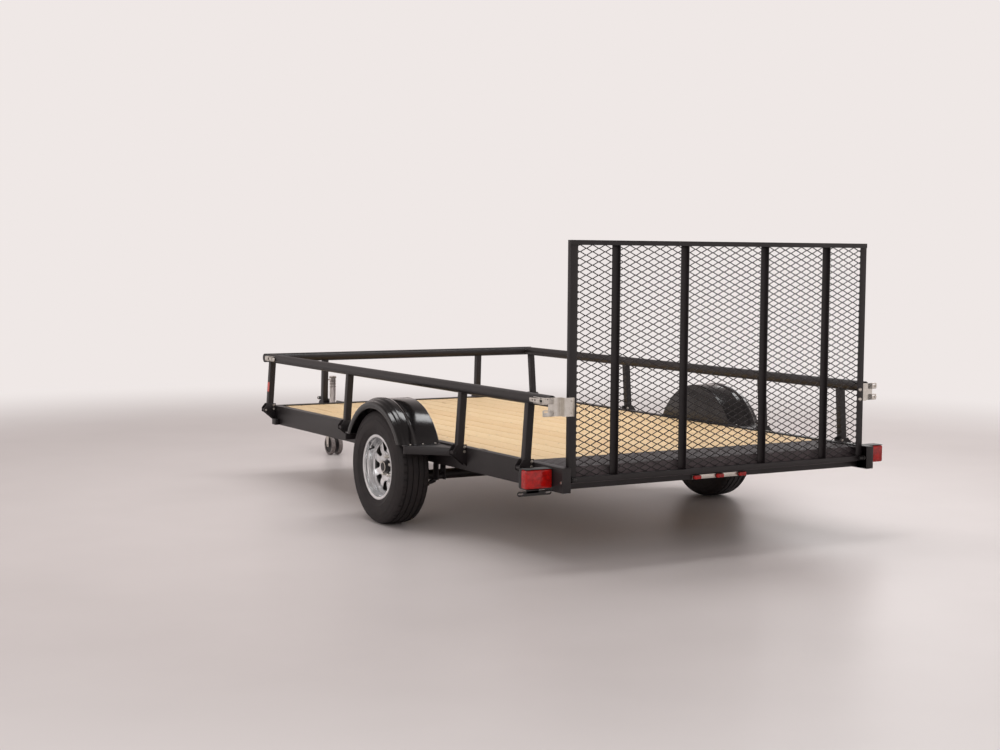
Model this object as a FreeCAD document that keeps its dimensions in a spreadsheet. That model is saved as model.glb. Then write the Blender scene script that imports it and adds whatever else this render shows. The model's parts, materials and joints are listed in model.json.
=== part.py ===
"""Single-axle open utility trailer with folding tube rails and a ramp gate.

Frame: +X is the trailer's right, +Y is forward, +Z is up. The origin is on the floor, under the
middle of the trailer. Sizes are millimetres. Each sub-part is written to parts/<Label>.step.
"""
import FreeCAD, Part

import os
import re

import Sketcher

# ---------------------------------------------------------------- driving sizes (alias, value, what)
SIZES = [
    ("bed_len", 3760, "side beams' rear ends to the front beam's front face"),
    ("tongue_reach", 1400, "front beam's front face to the coupler's nose"),
    ("half_width", 1042, "middle to the side beams' outer faces"),
    ("beam_rise", 174, "wheel centre to the top of the side beams"),
    ("beam_tall", 127, "side beam height"),
    ("beam_flange", 50, "side beam flange width"),
    ("beam_wall", 4, "side and front beam wall"),
    ("front_tall", 120, "front beam height"),
    ("front_deep", 50, "front beam flange width"),
    ("corner_block", 30, "front corner block, out from the beam"),
    ("corner_len", 60, "front corner block length"),
    ("corner_tall", 41, "front corner block height"),
    ("deck_drop", 6, "deck top below the beam top"),
    ("deck_gap", 3, "deck edge to the side beam's lip"),
    ("plank_thick", 38, "plank thickness"),
    ("plank_gap", 1.7, "gap between planks"),
    ("cross_tall", 76, "cross-member height"),
    ("cross_flange", 40, "cross-member flange width"),
    ("cross_wall", 4, "cross-member wall"),
    ("cross_clear", 5, "last cross-member to the front beam"),
    ("first_cross", 415, "rear ends to the first cross-member's centre"),
    ("plate_thick", 4, "grip plate thickness"),
    ("joint_gap", 1, "half the gap between grip plate and planks"),
    ("rear_web_back", 78, "rear ends to the rear beam's web"),
    ("rear_box_deep", 50, "rear beam tube depth"),
    ("rear_box_tall", 25, "rear beam tube height"),
    ("rear_wall", 3, "rear beam tube wall"),
    ("rear_web", 6, "rear beam web thickness"),
    ("rear_lip", 30, "rear beam lip under the grip plate"),
    ("tongue_side", 76, "tongue tube side"),
    ("tongue_wall", 5, "tongue tube wall"),
    ("tongue_tail", 75, "tongue's rear end behind its rear cross-member"),
    ("coupler_len", 260, "coupler length"),
    ("coupler_lap", 90, "tongue length inside the coupler"),
    ("coupler_wall", 4, "coupler wall"),
    ("coupler_fit", 0.3, "tongue to coupler side gap"),
    ("coupler_short", 12, "coupler side walls end above the tongue's underside"),
    ("lever_half", 8, "coupler lever half width"),
    ("lever_tall", 16, "coupler lever height"),
    ("ball_bore", 25.8, "coupler socket radius, for a 50.8 mm ball"),
    ("ball_drop", 150, "ball centre below the beam top"),
    ("socket_skirt", 35, "socket skirt below the ball centre"),
    ("dome_out", 44, "coupler dome radius"),
    ("nose_lip", 48, "coupler nose lip radius"),
    ("nose_lip_tall", 6, "coupler nose lip height"),
    ("axle_back", 1650, "rear ends to the axle"),
    ("axle_low", 66, "axle tube centre below the wheel centre"),
    ("axle_r", 30, "axle tube radius"),
    ("axle_wall", 5, "axle tube wall"),
    ("tube_past", 3, "axle tube past the beam face"),
    ("drop_plate", 12, "axle end plate thickness"),
    ("drop_half", 35, "axle end plate half width"),
    ("spindle_r", 17, "spindle radius"),
    ("spindle_short", 10, "spindle end inside the hub cap's end"),
    ("run_fit", 0.05, "running clearance on radius"),
    ("cut_over", 5, "how far a cutting piece passes a face"),
    ("spring_reach", 310, "axle to a spring eye"),
    ("spring_sag", 78, "spring eye above the spring's middle"),
    ("leaf_thick", 7, "spring leaf thickness"),
    ("leaf_half", 20, "spring leaf half width"),
    ("leaf_two", 230, "second leaf half length"),
    ("leaf_three", 150, "third leaf half length"),
    ("leaf_bow", 0.9, "spring's middle below its seat"),
    ("eye_r", 15, "spring eye outer radius"),
    ("shackle_r", 8, "spring pin radius"),
    ("seat_half", 30, "spring seat half length"),
    ("seat_drop", 6, "spring seat below the axle tube"),
    ("seat_gap", 0.3, "resting gap under seats and plates"),
    ("clamp_lip", 14, "spring clamp plate past the spring"),
    ("hanger_plate", 4.5, "spring hanger plate"),
    ("hanger_half", 30, "spring hanger half length"),
    ("tyre_r", 331, "tyre radius"),
    ("tyre_half", 102.5, "tyre half width"),
    ("tyre_skin", 12, "tyre side wall thickness"),
    ("bead_step", 2, "tyre bead above the rim lip"),
    ("wall_low", 34, "rim lip to the tyre's widest part"),
    ("wall_high", 56, "tread down to the tyre's widest part"),
    ("shoulder_in", 10, "tyre shoulder in from the side wall"),
    ("shoulder_drop", 13, "tyre shoulder below the tread"),
    ("tread_in", 26, "tread edge in from the side wall"),
    ("tread_drop", 2, "tread edge below the tread's middle"),
    ("tread_thick", 14, "tread thickness"),
    ("liner_in", 28, "tyre lining's shoulder in from the side wall"),
    ("liner_low", 60, "tread down to the lining's widest part"),
    ("wheel_out", 135.5, "beam face to the wheel's middle plane"),
    ("rim_r", 178, "bead seat radius"),
    ("rim_half", 80, "half the distance between beads"),
    ("rim_lip", 191, "rim lip radius"),
    ("rim_wall", 5, "rim wall"),
    ("bead_seat", 25, "bead seat width"),
    ("well_side", 40, "bead to the rim's drop centre"),
    ("well_deep", 14, "rim's drop centre depth"),
    ("disc_out", 10, "wheel disc's mounting face, outboard of the middle plane"),
    ("disc_thick", 7, "wheel disc thickness"),
    ("pilot_r", 42, "wheel disc centre bore radius"),
    ("lug_circle_r", 57.15, "lug circle radius"),
    ("lug_r", 6, "wheel stud radius"),
    ("stud_out", 21, "wheel stud past the disc's mounting face"),
    ("pilot_len", 14, "hub pilot past the disc's mounting face"),
    ("window_r", 27, "wheel window circumscribed radius"),
    ("window_circle_r", 122, "wheel window circle radius"),
    ("hub_flange_r", 72, "hub flange radius"),
    ("hub_flange", 9, "hub flange thickness"),
    ("hub_r", 38, "hub barrel radius"),
    ("hub_back", 52, "hub barrel inboard of the middle plane"),
    ("cap_r", 32, "hub cap radius"),
    ("cap_out", 47.5, "hub cap end outboard of the middle plane"),
    ("cap_round", 4, "hub cap edge chamfer"),
    ("cap_thick", 9, "hub cap end thickness"),
    ("fender_gap", 74, "tyre to the fender's outer face"),
    ("fender_out", 253, "beam face to the fender's outer face"),
    ("fender_wall", 3.5, "fender wall"),
    ("fender_skirt", 60, "fender outer skirt depth"),
    ("fender_drop", 9, "fender's lower edge below the beam top"),
    ("ledge_thick", 5, "fender ledge thickness"),
    ("ledge_len", 245, "fender rear ledge length"),
    ("ledge_deep", 40, "fender ledge face depth"),
    ("ledge_lap", 25, "fender ledge lap under the fender"),
    ("ledge_inset", 15, "fender ledge inside the fender's outer face"),
    ("rail_r", 30, "rail tube radius"),
    ("rail_wall", 2.5, "rail tube wall"),
    ("rail_rise", 330, "rail tube centre above the beam top"),
    ("rail_lean", 12, "beam face out to the side rail tube's centre"),
    ("rail_back", 88, "rear ends to the side rails' rear ends"),
    ("rail_front", 15, "front face back to the side rails' front ends"),
    ("post_side", 38, "rail post side"),
    ("post_out", 38, "beam face out to a post foot's centre"),
    ("foot_drop", 38, "post foot below the beam top"),
    ("post_one", 298, "rear ends to the rear post"),
    ("post_two", 32.1, "fender ledge back to the second post"),
    ("post_three", 438.1, "fender's front end forward to the third post"),
    ("post_four", 40, "front face back to the front post"),
    ("pivot_out", 73, "beam face out to a side rail pivot"),
    ("pivot_drop", 25, "rail pivots below the beam top"),
    ("pivot_r", 6, "rail pivot bolt radius"),
    ("lug_ring", 11, "post lug radius"),
    ("ear_plate", 5, "post bracket plate thickness"),
    ("ear_gap", 0.8, "post to bracket plate"),
    ("ear_edge", 13, "pivot to the bracket's outer edge"),
    ("ear_rise", 18, "bracket above the beam top"),
    ("ear_foot", 103, "bracket's lower corner below the beam top"),
    ("bolt_head_r", 10, "pivot bolt head radius"),
    ("bolt_head", 6, "pivot bolt head height"),
    ("front_rail_out", 23, "front face out to the front rail tube's centre"),
    ("front_rail_half", 1092, "front rail half length"),
    ("front_post_x", 628, "middle to a front post"),
    ("plug_thick", 6, "rail end plug thickness"),
    ("latch_len", 140, "rail latch length"),
    ("latch_half", 17, "rail latch half height"),
    ("latch_rise", 14, "rail latch out of the tube"),
    ("latch_inset", 12, "rail latch from the rail's end"),
    ("gate_gap", 5.5, "gate to side beam's lip"),
    ("gate_back", 30, "rear ends to the gate's rear face"),
    ("gate_deep", 30, "gate depth"),
    ("gate_rise", 1139, "gate top above the beam top"),
    ("gate_drop", 82, "gate bottom below the beam top"),
    ("gate_bar", 27, "gate bottom bar height"),
    ("gate_cap", 25, "gate top bar height"),
    ("gate_wall", 4, "gate bar and post wall"),
    ("gate_leg", 45, "gate side post width"),
    ("upright_outer", 702, "middle to an outer gate upright"),
    ("upright_inner", 267, "middle to an inner gate upright"),
    ("upright_wide", 38, "gate upright width"),
    ("mesh_thick", 1.2, "gate mesh sheet thickness"),
    ("hinge_back", 14, "rear ends to the gate hinge axis"),
    ("hinge_drop", 64, "gate hinge axis below the beam top"),
    ("hinge_r", 8, "gate hinge pin radius"),
    ("hinge_ring", 14, "gate hinge tab radius"),
    ("hinge_tab", 6, "gate hinge tab thickness"),
    ("hinge_in", 36, "gate hinge pin past the gate's edge"),
    ("catch_low", 256, "gate catch plate bottom above the beam top"),
    ("catch_tall", 95, "gate catch plate height"),
    ("catch_jog", 38, "gate catch plate step forward"),
    ("catch_wing", 34, "rail tube's centre to the catch plate's outer edge"),
    ("catch_ear", 66, "rail tube's centre to the catch ears' outer edges"),
    ("catch_claw", 33, "catch ear height"),
    ("catch_thick", 3, "gate catch plate thickness"),
    ("catch_in", 27, "gate catch plate lap on the post"),
    ("catch_off", 9, "gate catch plate to the side rail tube"),
    ("lamp_in", 2, "beam face to the tail lamp"),
    ("lamp_wide", 159, "tail lamp width"),
    ("lamp_back", 90, "rear ends to the lamp lens"),
    ("lamp_deep", 64, "tail lamp housing depth"),
    ("lamp_tall", 101, "tail lamp height"),
    ("lamp_drop", 8, "tail lamp top below the beam top"),
    ("lamp_rim", 6, "tail lamp rim"),
    ("lens_proud", 6, "lens out of and into the housing"),
    ("lamp_bracket", 5, "tail lamp bracket plate"),
    ("bracket_drop", 15, "lamp bracket below the lamp's top"),
    ("plate_flat", 30, "licence bracket height"),
    ("plate_out", 204, "beam face to the licence bracket's outer end"),
    ("plate_in", 3, "beam face to the licence bracket's inner end"),
    ("plate_gauge", 3, "licence bracket thickness"),
    ("shelf_inset", 6, "licence shelf inside the bracket's outer end"),
    ("slot_pitch", 159, "licence bracket slot spacing"),
    ("slot_out", 25, "beam face to the inner slot's centre"),
    ("slot_r", 4.5, "licence slot half height"),
    ("slot_half", 10.5, "licence slot half straight length"),
    ("id_pitch", 152, "identification lamp spacing"),
    ("id_half", 25, "identification lamp half width"),
    ("id_bar", 6, "identification bar thickness"),
    ("id_lens", 17, "identification lamp depth"),
    ("jack_back", 435, "coupler's nose back to the jack"),
    ("jack_out", 138, "middle to the jack's centre, on the left"),
    ("jack_r", 24.5, "jack outer tube radius"),
    ("jack_leg_r", 19, "jack inner tube radius"),
    ("jack_below", 47, "jack outer tube below the tongue's middle"),
    ("jack_above", 253, "jack outer tube above the tongue's middle"),
    ("jack_cap", 13, "jack cap height"),
    ("jack_cap_r", 27, "jack cap radius"),
    ("jack_leg_up", 83, "jack inner tube above the tongue's middle"),
    ("jack_leg_low", 171.3, "jack inner tube bottom"),
    ("jack_leg_wall", 3, "jack inner tube wall"),
    ("jack_plug", 22, "plug in the inner tube's foot"),
    ("jack_stub_r", 16, "jack swivel stub radius"),
    ("jack_boss_r", 24, "jack swivel boss radius"),
    ("jack_boss", 17, "jack swivel boss length"),
    ("stub_in", 13, "jack stub inside its boss"),
    ("jack_plate", 8, "jack mounting plate thickness"),
    ("jack_plate_half", 50, "jack mounting plate half length"),
    ("crank_drop", 28, "crank shaft below the jack tube's top"),
    ("crank_r", 6, "crank shaft radius"),
    ("crank_len", 150, "crank arm length"),
    ("crank_out", 24, "jack tube to the crank arm"),
    ("crank_thick", 6, "crank arm thickness"),
    ("grip_len", 72, "crank grip length"),
    ("grip_r", 12, "crank grip radius"),
    ("caster_r", 76, "jack wheel radius"),
    ("caster_half", 46, "jack wheels' half overall width"),
    ("caster_in", 16, "jack wheels' half inner gap"),
    ("caster_trail", 18, "jack axle behind the leg"),
    ("caster_pin", 6, "jack wheel axle radius"),
    ("fork_plate", 6, "jack fork plate thickness"),
    ("fork_leg", 5, "jack fork leg thickness"),
    ("fork_leg_half", 20, "jack fork's top past the axle and the leg"),
    ("fork_tip", 14, "jack fork leg half width at the wheel axle"),
    ("fork_gap", 2, "fork leg to a jack wheel"),
    ("king_r", 8, "jack kingpin radius"),
    ("king_len", 18, "jack kingpin length"),
]

WHEEL_WINDOWS = 8
WHEEL_LUGS = 5
PLANKS = 14
CROSS_MEMBERS = 7
TONGUE_CROSS = 4
LEAVES = ("spring_reach", "leaf_two", "leaf_three")

# Places worked out from the driving sizes.
PLACES = {
    "beam_top": "tyre_r + beam_rise",
    "rear": "-(bed_len + tongue_reach) / 2",
    "front": "rear + bed_len",
    "nose": "rear + bed_len + tongue_reach",
    "beam_front": "front - front_deep",
    "beam_low": "beam_top - beam_tall",
    "block_front": "front - post_four - half_post - ear_gap - ear_plate - joint_gap",
    "front_low": "beam_top - front_tall",
    "web_in": "half_width - beam_wall",
    "lip_in": "half_width - beam_flange",
    "deck_half": "lip_in - deck_gap",
    "deck_top": "beam_top - deck_drop",
    "plate_low": "deck_top - plate_thick",
    "cross_top": "deck_top - plank_thick",
    "cross_low": "cross_top - cross_tall",
    "web_back": "rear + rear_web_back",
    "last_cross": "beam_front - cross_flange / 2 - cross_clear",
    "cross_pitch": f"(last_cross - rear - first_cross) / {CROSS_MEMBERS - 1}",
    "tongue_rear": f"rear + first_cross + {TONGUE_CROSS} * cross_pitch - cross_flange / 2 - tongue_tail",
    "tongue_low": "cross_low - tongue_side",
    "tongue_half": "tongue_side / 2",
    "tongue_mid": "cross_low - tongue_side / 2",
    "ball_y": "nose - nose_lip",
    "ball_z": "beam_top - ball_drop",
    "axle_y": "rear + axle_back",
    "axle_z": "tyre_r - axle_low",
    "wheel_x": "half_width + wheel_out",
    "spring_x": "half_width - beam_flange / 2",
    "seat_z": "axle_z - axle_r - seat_drop",
    "leaf_z": "seat_z - leaf_bow",
    "arc_mid": "(spring_reach ^ 2 + spring_sag ^ 2) / (2 * spring_sag)",
    "leaf_in": "arc_mid - leaf_thick / 2",
    "arc_z": "leaf_z + leaf_in",
    "eye_z": "leaf_z - leaf_thick / 2 + spring_sag",
    "hanger_in": "leaf_half + seat_gap",
    "axle_end": "half_width + tube_past",
    "well_r": "rim_r - well_deep - rim_wall",
    "fender_r": "tyre_r + fender_gap",
    "fender_low": "beam_top - fender_drop",
    "fender_edge": "half_width + fender_out",
    "fender_chord": "(fender_r ^ 2 - (fender_low - tyre_r) ^ 2) ^ 0.5",
    "rail_x": "half_width + rail_lean",
    "rail_z": "beam_top + rail_rise",
    "rail_rear_end": "rear + rail_back",
    "rail_front_end": "front - rail_front",
    "post_x": "half_width + post_out",
    "foot_z": "beam_top - foot_drop",
    "pivot_x": "half_width + pivot_out",
    "pivot_z": "beam_top - pivot_drop",
    "half_post": "post_side / 2",
    "front_tube_y": "front + front_rail_out",
    "front_post_y": "front + post_out",
    "front_pivot_y": "front + pivot_out",
    "gate_half": "lip_in - gate_gap",
    "gate_rear": "rear + gate_back",
    "gate_front": "rear + gate_back + gate_deep",
    "gate_low": "beam_top - gate_drop",
    "gate_high": "beam_top + gate_rise",
    "ledge_top": "gate_low + gate_bar",
    "mesh_rear": "gate_front - mesh_thick",
    "hinge_y": "rear + hinge_back",
    "hinge_z": "beam_top - hinge_drop",
    "catch_x": "rail_x - rail_r - catch_off",
    "lamp_x": "half_width + lamp_in",
    "lamp_end": "half_width + lamp_in + lamp_wide",
    "lamp_top": "beam_top - lamp_drop",
    "lamp_low": "beam_top - lamp_drop - lamp_tall",
    "house_back": "rear + lamp_back + lens_proud",
    "house_front": "rear + lamp_back + lens_proud + lamp_deep",
    "id_rear": "web_back - id_bar",
    "jack_y": "nose - jack_back",
    "jack_low": "tongue_mid - jack_below",
    "jack_high": "tongue_mid + jack_above",
    "jack_leg_top": "tongue_mid + jack_leg_up",
    "crank_z": "jack_high - crank_drop + jack_cap",
    "crank_x": "-jack_out - jack_r - crank_out",
    "boss_in": "jack_r + jack_boss",
    "fork_top": "jack_leg_low - seat_gap",
    "fork_in": "caster_half + fork_gap",
    "fork_out": "caster_half + fork_gap + fork_leg",
    "caster_y": "jack_y - caster_trail",
}

# ---------------------------------------------------------------- document and sheet
doc = FreeCAD.newDocument("utility_trailer")
sheet = doc.addObject("Spreadsheet::Sheet", "Sizes")
for row, (alias, value, what) in enumerate(SIZES, start=1):
    sheet.set(f"A{row}", alias)
    sheet.set(f"B{row}", str(value))
    sheet.setAlias(f"B{row}", alias)
    sheet.set(f"C{row}", what)
doc.recompute()

ALIASES = {alias for alias, value, what in SIZES}
NODES = []


def bound(formula):
    """A formula of size and place names, as a FreeCAD expression on the sheet."""
    def swap(match):
        word = match.group(0)
        if word in PLACES:
            return "(" + bound(PLACES[word]) + ")"
        if word in ALIASES:
            return "Sizes." + word
        raise NameError(f"no size or place is called {word}")
    return re.sub(r"[a-z]\w*", swap, str(formula))


# ---------------------------------------------------------------- pieces
TURN = {
    "X": FreeCAD.Rotation(FreeCAD.Vector(0, 1, 0), 90),
    "Y": FreeCAD.Rotation(FreeCAD.Vector(1, 0, 0), -90),
    "Z": FreeCAD.Rotation(),
}


def box(x, y, z):
    """A block from three (low, high) pairs."""
    piece = doc.addObject("Part::Box", "Block")
    for side, corner, (low, high) in zip(("Length", "Width", "Height"), "xyz", (x, y, z)):
        piece.setExpression(side, bound(f"({high}) - ({low})"))
        piece.setExpression(f".Placement.Base.{corner}", bound(low))
    return piece


def rod(axis, radius, span, first, second):
    """A round bar along an axis from span's low to high, at its other two coordinates."""
    piece = doc.addObject("Part::Cylinder", "Rod")
    piece.Placement = FreeCAD.Placement(FreeCAD.Vector(), TURN[axis])
    piece.setExpression("Radius", bound(radius))
    piece.setExpression("Height", bound(f"({span[1]}) - ({span[0]})"))
    others = [letter for letter in "XYZ" if letter != axis]
    places = {axis: span[0], others[0]: first, others[1]: second}
    for letter, place in places.items():
        piece.setExpression(f".Placement.Base.{letter.lower()}", bound(place))
    return piece


def fuse(*pieces):
    joined = doc.addObject("Part::MultiFuse", "Joined")
    joined.Shapes = list(pieces)
    return joined


def cut(base, *tools):
    left = doc.addObject("Part::Cut", "Cut")
    left.Base = base
    left.Tool = tools[0] if len(tools) == 1 else fuse(*tools)
    return left


def common(first, second):
    shared = doc.addObject("Part::Common", "Common")
    shared.Base = first
    shared.Tool = second
    return shared


def mirror(piece):
    """The same piece on the other side of the trailer."""
    twin = doc.addObject("Part::Mirroring", "Mirror")
    twin.Source = piece
    twin.Base = FreeCAD.Vector(0, 0, 0)
    twin.Normal = FreeCAD.Vector(1, 0, 0)
    return twin


def sketched(plane, points, name):
    """A body with one closed outline on one of its origin planes, every corner bound."""
    body = doc.addObject("PartDesign::Body", name)
    sketch = body.newObject("Sketcher::SketchObject", name + "Outline")
    base = [item for item in body.Origin.OriginFeatures if item.Role == plane][0]
    sketch.AttachmentSupport = [(base, "")]
    sketch.MapMode = "FlatFace"
    corners = []
    for across, up in points:
        sketch.addProperty("App::PropertyFloat", f"u{len(corners)}")
        sketch.addProperty("App::PropertyFloat", f"v{len(corners)}")
        sketch.setExpression(f"u{len(corners)}", bound(across))
        sketch.setExpression(f"v{len(corners)}", bound(up))
        corners.append((f"u{len(corners)}", f"v{len(corners)}"))
    doc.recompute([sketch])
    spots = [FreeCAD.Vector(getattr(sketch, u), getattr(sketch, v), 0) for u, v in corners]
    count = len(spots)
    for index in range(count):
        line = Part.LineSegment(spots[index], spots[(index + 1) % count])
        sketch.addGeometry(line, False)
    for index in range(count):
        sketch.addConstraint(Sketcher.Constraint("Coincident", index, 2, (index + 1) % count, 1))
    for index, (u, v) in enumerate(corners):
        for kind, source, size in (("DistanceX", u, spots[index].x), ("DistanceY", v, spots[index].y)):
            number = sketch.addConstraint(Sketcher.Constraint(kind, -1, 1, index, 1, size))
            sketch.setExpression(f"Constraints[{number}]", source)
    return body, sketch


def slab(plane, points, middle, length):
    """An outline padded evenly both ways along its plane's normal, about middle."""
    body, sketch = sketched(plane, points, "Slab")
    pad = body.newObject("PartDesign::Pad", "Pad")
    pad.Profile = sketch
    pad.SideType = "Symmetric"
    pad.setExpression("Length", bound(length))
    normal = {"YZ_Plane": "x", "XZ_Plane": "y", "XY_Plane": "z"}[plane]
    body.setExpression(f".Placement.Base.{normal}", bound(middle))
    return body


def turned(points, axis, x, y, z):
    """A turned piece: (along, radius) points about X, or (radius, height) points about Z."""
    body, sketch = sketched("XZ_Plane", points, "Turned")
    spin = body.newObject("PartDesign::Revolution", "Spin")
    spin.Profile = sketch
    spin.ReferenceAxis = (sketch, ["H_Axis" if axis == "X" else "V_Axis"])
    spin.Angle = 360
    for corner, place in zip("xyz", (x, y, z)):
        body.setExpression(f".Placement.Base.{corner}", bound(place))
    return body


def node(label, *pieces):
    """Name a sub-part. Several pieces become one compound of separate solids."""
    if len(pieces) == 1:
        part = pieces[0]
    else:
        part = doc.addObject("Part::Compound", "Group")
        part.Links = list(pieces)
    part.Label = label
    NODES.append(part)
    return part


def both_sides(label, *pieces):
    return node(label, *pieces, *[mirror(piece) for piece in pieces])


# ---------------------------------------------------------------- frame
def side_beams():
    channel = slab("XZ_Plane", [
        ("lip_in", "beam_low"),
        ("half_width", "beam_low"),
        ("half_width", "beam_top"),
        ("lip_in", "beam_top"),
        ("lip_in", "beam_top - beam_wall"),
        ("web_in", "beam_top - beam_wall"),
        ("web_in", "beam_low + beam_wall"),
        ("lip_in", "beam_low + beam_wall"),
    ], "(rear + beam_front) / 2", "beam_front - rear")
    cap = box(("lip_in", "half_width"), ("rear", "rear + beam_wall"), ("beam_low", "beam_top"))
    both_sides("side_beams", fuse(channel, cap))


def front_beam():
    beam = slab("YZ_Plane", [
        ("beam_front", "front_low"),
        ("front", "front_low"),
        ("front", "beam_top"),
        ("beam_front", "beam_top"),
        ("beam_front", "beam_top - beam_wall"),
        ("front - beam_wall", "beam_top - beam_wall"),
        ("front - beam_wall", "front_low + beam_wall"),
        ("beam_front", "front_low + beam_wall"),
    ], 0, "2 * half_width")
    block = box(("half_width", "half_width + corner_block"),
                ("block_front - corner_len", "block_front"),
                ("beam_low", "beam_low + corner_tall"))
    node("front_beam", beam, block, mirror(block))


def rear_beam():
    angle = slab("YZ_Plane", [
        ("web_back", "cross_low"),
        ("web_back + rear_box_deep", "cross_low"),
        ("web_back + rear_box_deep", "cross_low + rear_box_tall"),
        ("web_back + rear_web", "cross_low + rear_box_tall"),
        ("web_back + rear_web", "plate_low - plate_thick"),
        ("web_back + rear_web + rear_lip", "plate_low - plate_thick"),
        ("web_back + rear_web + rear_lip", "plate_low"),
        ("web_back", "plate_low"),
    ], 0, "2 * web_in")
    hollow = box(("-web_in", "web_in"),
                 ("web_back + rear_wall", "web_back + rear_box_deep - rear_wall"),
                 ("cross_low + rear_wall", "cross_low + rear_box_tall - rear_wall"))
    node("rear_beam", cut(angle, hollow))


def cross_members():
    members = []
    for index in range(CROSS_MEMBERS):
        back = f"rear + first_cross + {index} * cross_pitch - cross_flange / 2"
        web = f"{back} + cross_wall"
        tip = f"{back} + cross_flange"
        members.append(slab("YZ_Plane", [
            (back, "cross_low"),
            (tip, "cross_low"),
            (tip, "cross_low + cross_wall"),
            (web, "cross_low + cross_wall"),
            (web, "cross_top - cross_wall"),
            (tip, "cross_top - cross_wall"),
            (tip, "cross_top"),
            (back, "cross_top"),
        ], 0, "2 * web_in"))
    node("cross_members", *members)


def tongue():
    span = ("tongue_rear", "nose - coupler_len + coupler_lap")
    tube = box(("-tongue_half", "tongue_half"), span, ("tongue_low", "cross_low"))
    hollow = box(("-tongue_half + tongue_wall", "tongue_half - tongue_wall"), span,
                 ("tongue_low + tongue_wall", "cross_low - tongue_wall"))
    node("tongue", cut(tube, hollow))


def coupler():
    half = "tongue_half + coupler_fit"
    back = "nose - coupler_len"
    shell = box((f"-({half}) - coupler_wall", f"{half} + coupler_wall"), (back, "ball_y"),
                ("tongue_low + coupler_short", "cross_low + coupler_wall"))
    sleeve = box((f"-({half})", half), (back, "ball_y - dome_out + coupler_wall"),
                 ("tongue_low", "cross_low"))
    dome = doc.addObject("Part::Sphere", "Dome")
    dome.setExpression("Radius", bound("dome_out"))
    dome.setExpression(".Placement.Base.y", bound("ball_y"))
    dome.setExpression(".Placement.Base.z", bound("ball_z"))
    upper = common(dome, box(("-dome_out", "dome_out"), ("ball_y - dome_out", "ball_y + dome_out"),
                             ("ball_z", "ball_z + dome_out")))
    skirt = rod("Z", "dome_out", ("ball_z - socket_skirt", "ball_z"), "0", "ball_y")
    lip = rod("Z", "nose_lip", ("ball_z - socket_skirt", "ball_z - socket_skirt + nose_lip_tall"),
              "0", "ball_y")
    lever = box(("-lever_half", "lever_half"), (f"{back} + coupler_lap", "ball_y - dome_out"),
                ("cross_low", "cross_low + lever_tall"))
    ball = doc.addObject("Part::Sphere", "Socket")
    ball.setExpression("Radius", bound("ball_bore"))
    ball.setExpression(".Placement.Base.y", bound("ball_y"))
    ball.setExpression(".Placement.Base.z", bound("ball_z"))
    mouth = rod("Z", "ball_bore", ("ball_z - socket_skirt - cut_over", "ball_z"), "0", "ball_y")
    body = cut(fuse(shell, upper, skirt, lip, lever), sleeve, ball, mouth)
    node("coupler", body)


def deck():
    pitch = f"((2 * deck_half + plank_gap) / {PLANKS})"
    planks = []
    for index in range(PLANKS):
        left = f"-deck_half + {index} * {pitch}"
        planks.append(box((left, f"{left} + {pitch} - plank_gap"),
                          ("rear + first_cross + joint_gap", "beam_front - joint_gap"),
                          ("cross_top", "deck_top")))
    node("deck_planks", *planks)
    edge = "rear + first_cross - joint_gap"
    node("grip_plate", slab("YZ_Plane", [
        ("web_back", "plate_low"),
        (f"{edge} - plate_thick", "plate_low"),
        (f"{edge} - plate_thick", "cross_top"),
        (edge, "cross_top"),
        (edge, "deck_top"),
        ("web_back", "deck_top"),
    ], 0, "2 * deck_half"))


# ---------------------------------------------------------------- running gear
def fenders():
    outside = rod("X", "fender_r", ("half_width", "fender_edge"), "axle_y", "tyre_r")
    inside = rod("X", "fender_r - fender_wall",
                 ("half_width + fender_wall", "fender_edge - fender_wall"), "axle_y", "tyre_r")
    mouth = rod("X", "fender_r - fender_skirt", ("half_width + fender_wall", "fender_edge + fender_wall"),
                "axle_y", "tyre_r")
    below = box(("half_width - fender_wall", "fender_edge + fender_wall"),
                ("axle_y - fender_r", "axle_y + fender_r"),
                ("tyre_r - fender_r", "fender_low"))
    both_sides("fenders", cut(outside, inside, mouth, below))


def fender_brackets():
    low = "fender_low - ledge_thick"
    rear_end = "axle_y - fender_chord"
    front_end = "axle_y + fender_chord"
    tip_x = "fender_edge - ledge_inset"
    ledge = slab("XY_Plane", [
        ("half_width", f"{rear_end} - ledge_len"),
        (tip_x, f"{rear_end} - ledge_lap / 2"),
        (tip_x, f"{rear_end} + ledge_lap"),
        ("half_width", f"{rear_end} + ledge_lap"),
    ], f"{low} + ledge_thick / 2", "ledge_thick")
    face = slab("XY_Plane", [
        ("half_width", f"{rear_end} - ledge_len"),
        (tip_x, f"{rear_end} - ledge_lap / 2"),
        (tip_x, f"{rear_end}"),
        ("half_width", f"{rear_end} - ledge_len + ledge_lap / 2"),
    ], f"{low} - ledge_deep / 2", "ledge_deep")
    front_ledge = box(("half_width", tip_x), (f"{front_end} - ledge_lap", f"{front_end} + ledge_lap"),
                      (low, "fender_low"))
    front_face = box(("half_width", tip_x),
                     (f"{front_end} + ledge_lap - ledge_thick", f"{front_end} + ledge_lap"),
                     (f"{low} - ledge_deep", low))
    both_sides("fender_brackets", fuse(ledge, face), fuse(front_ledge, front_face))


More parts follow.
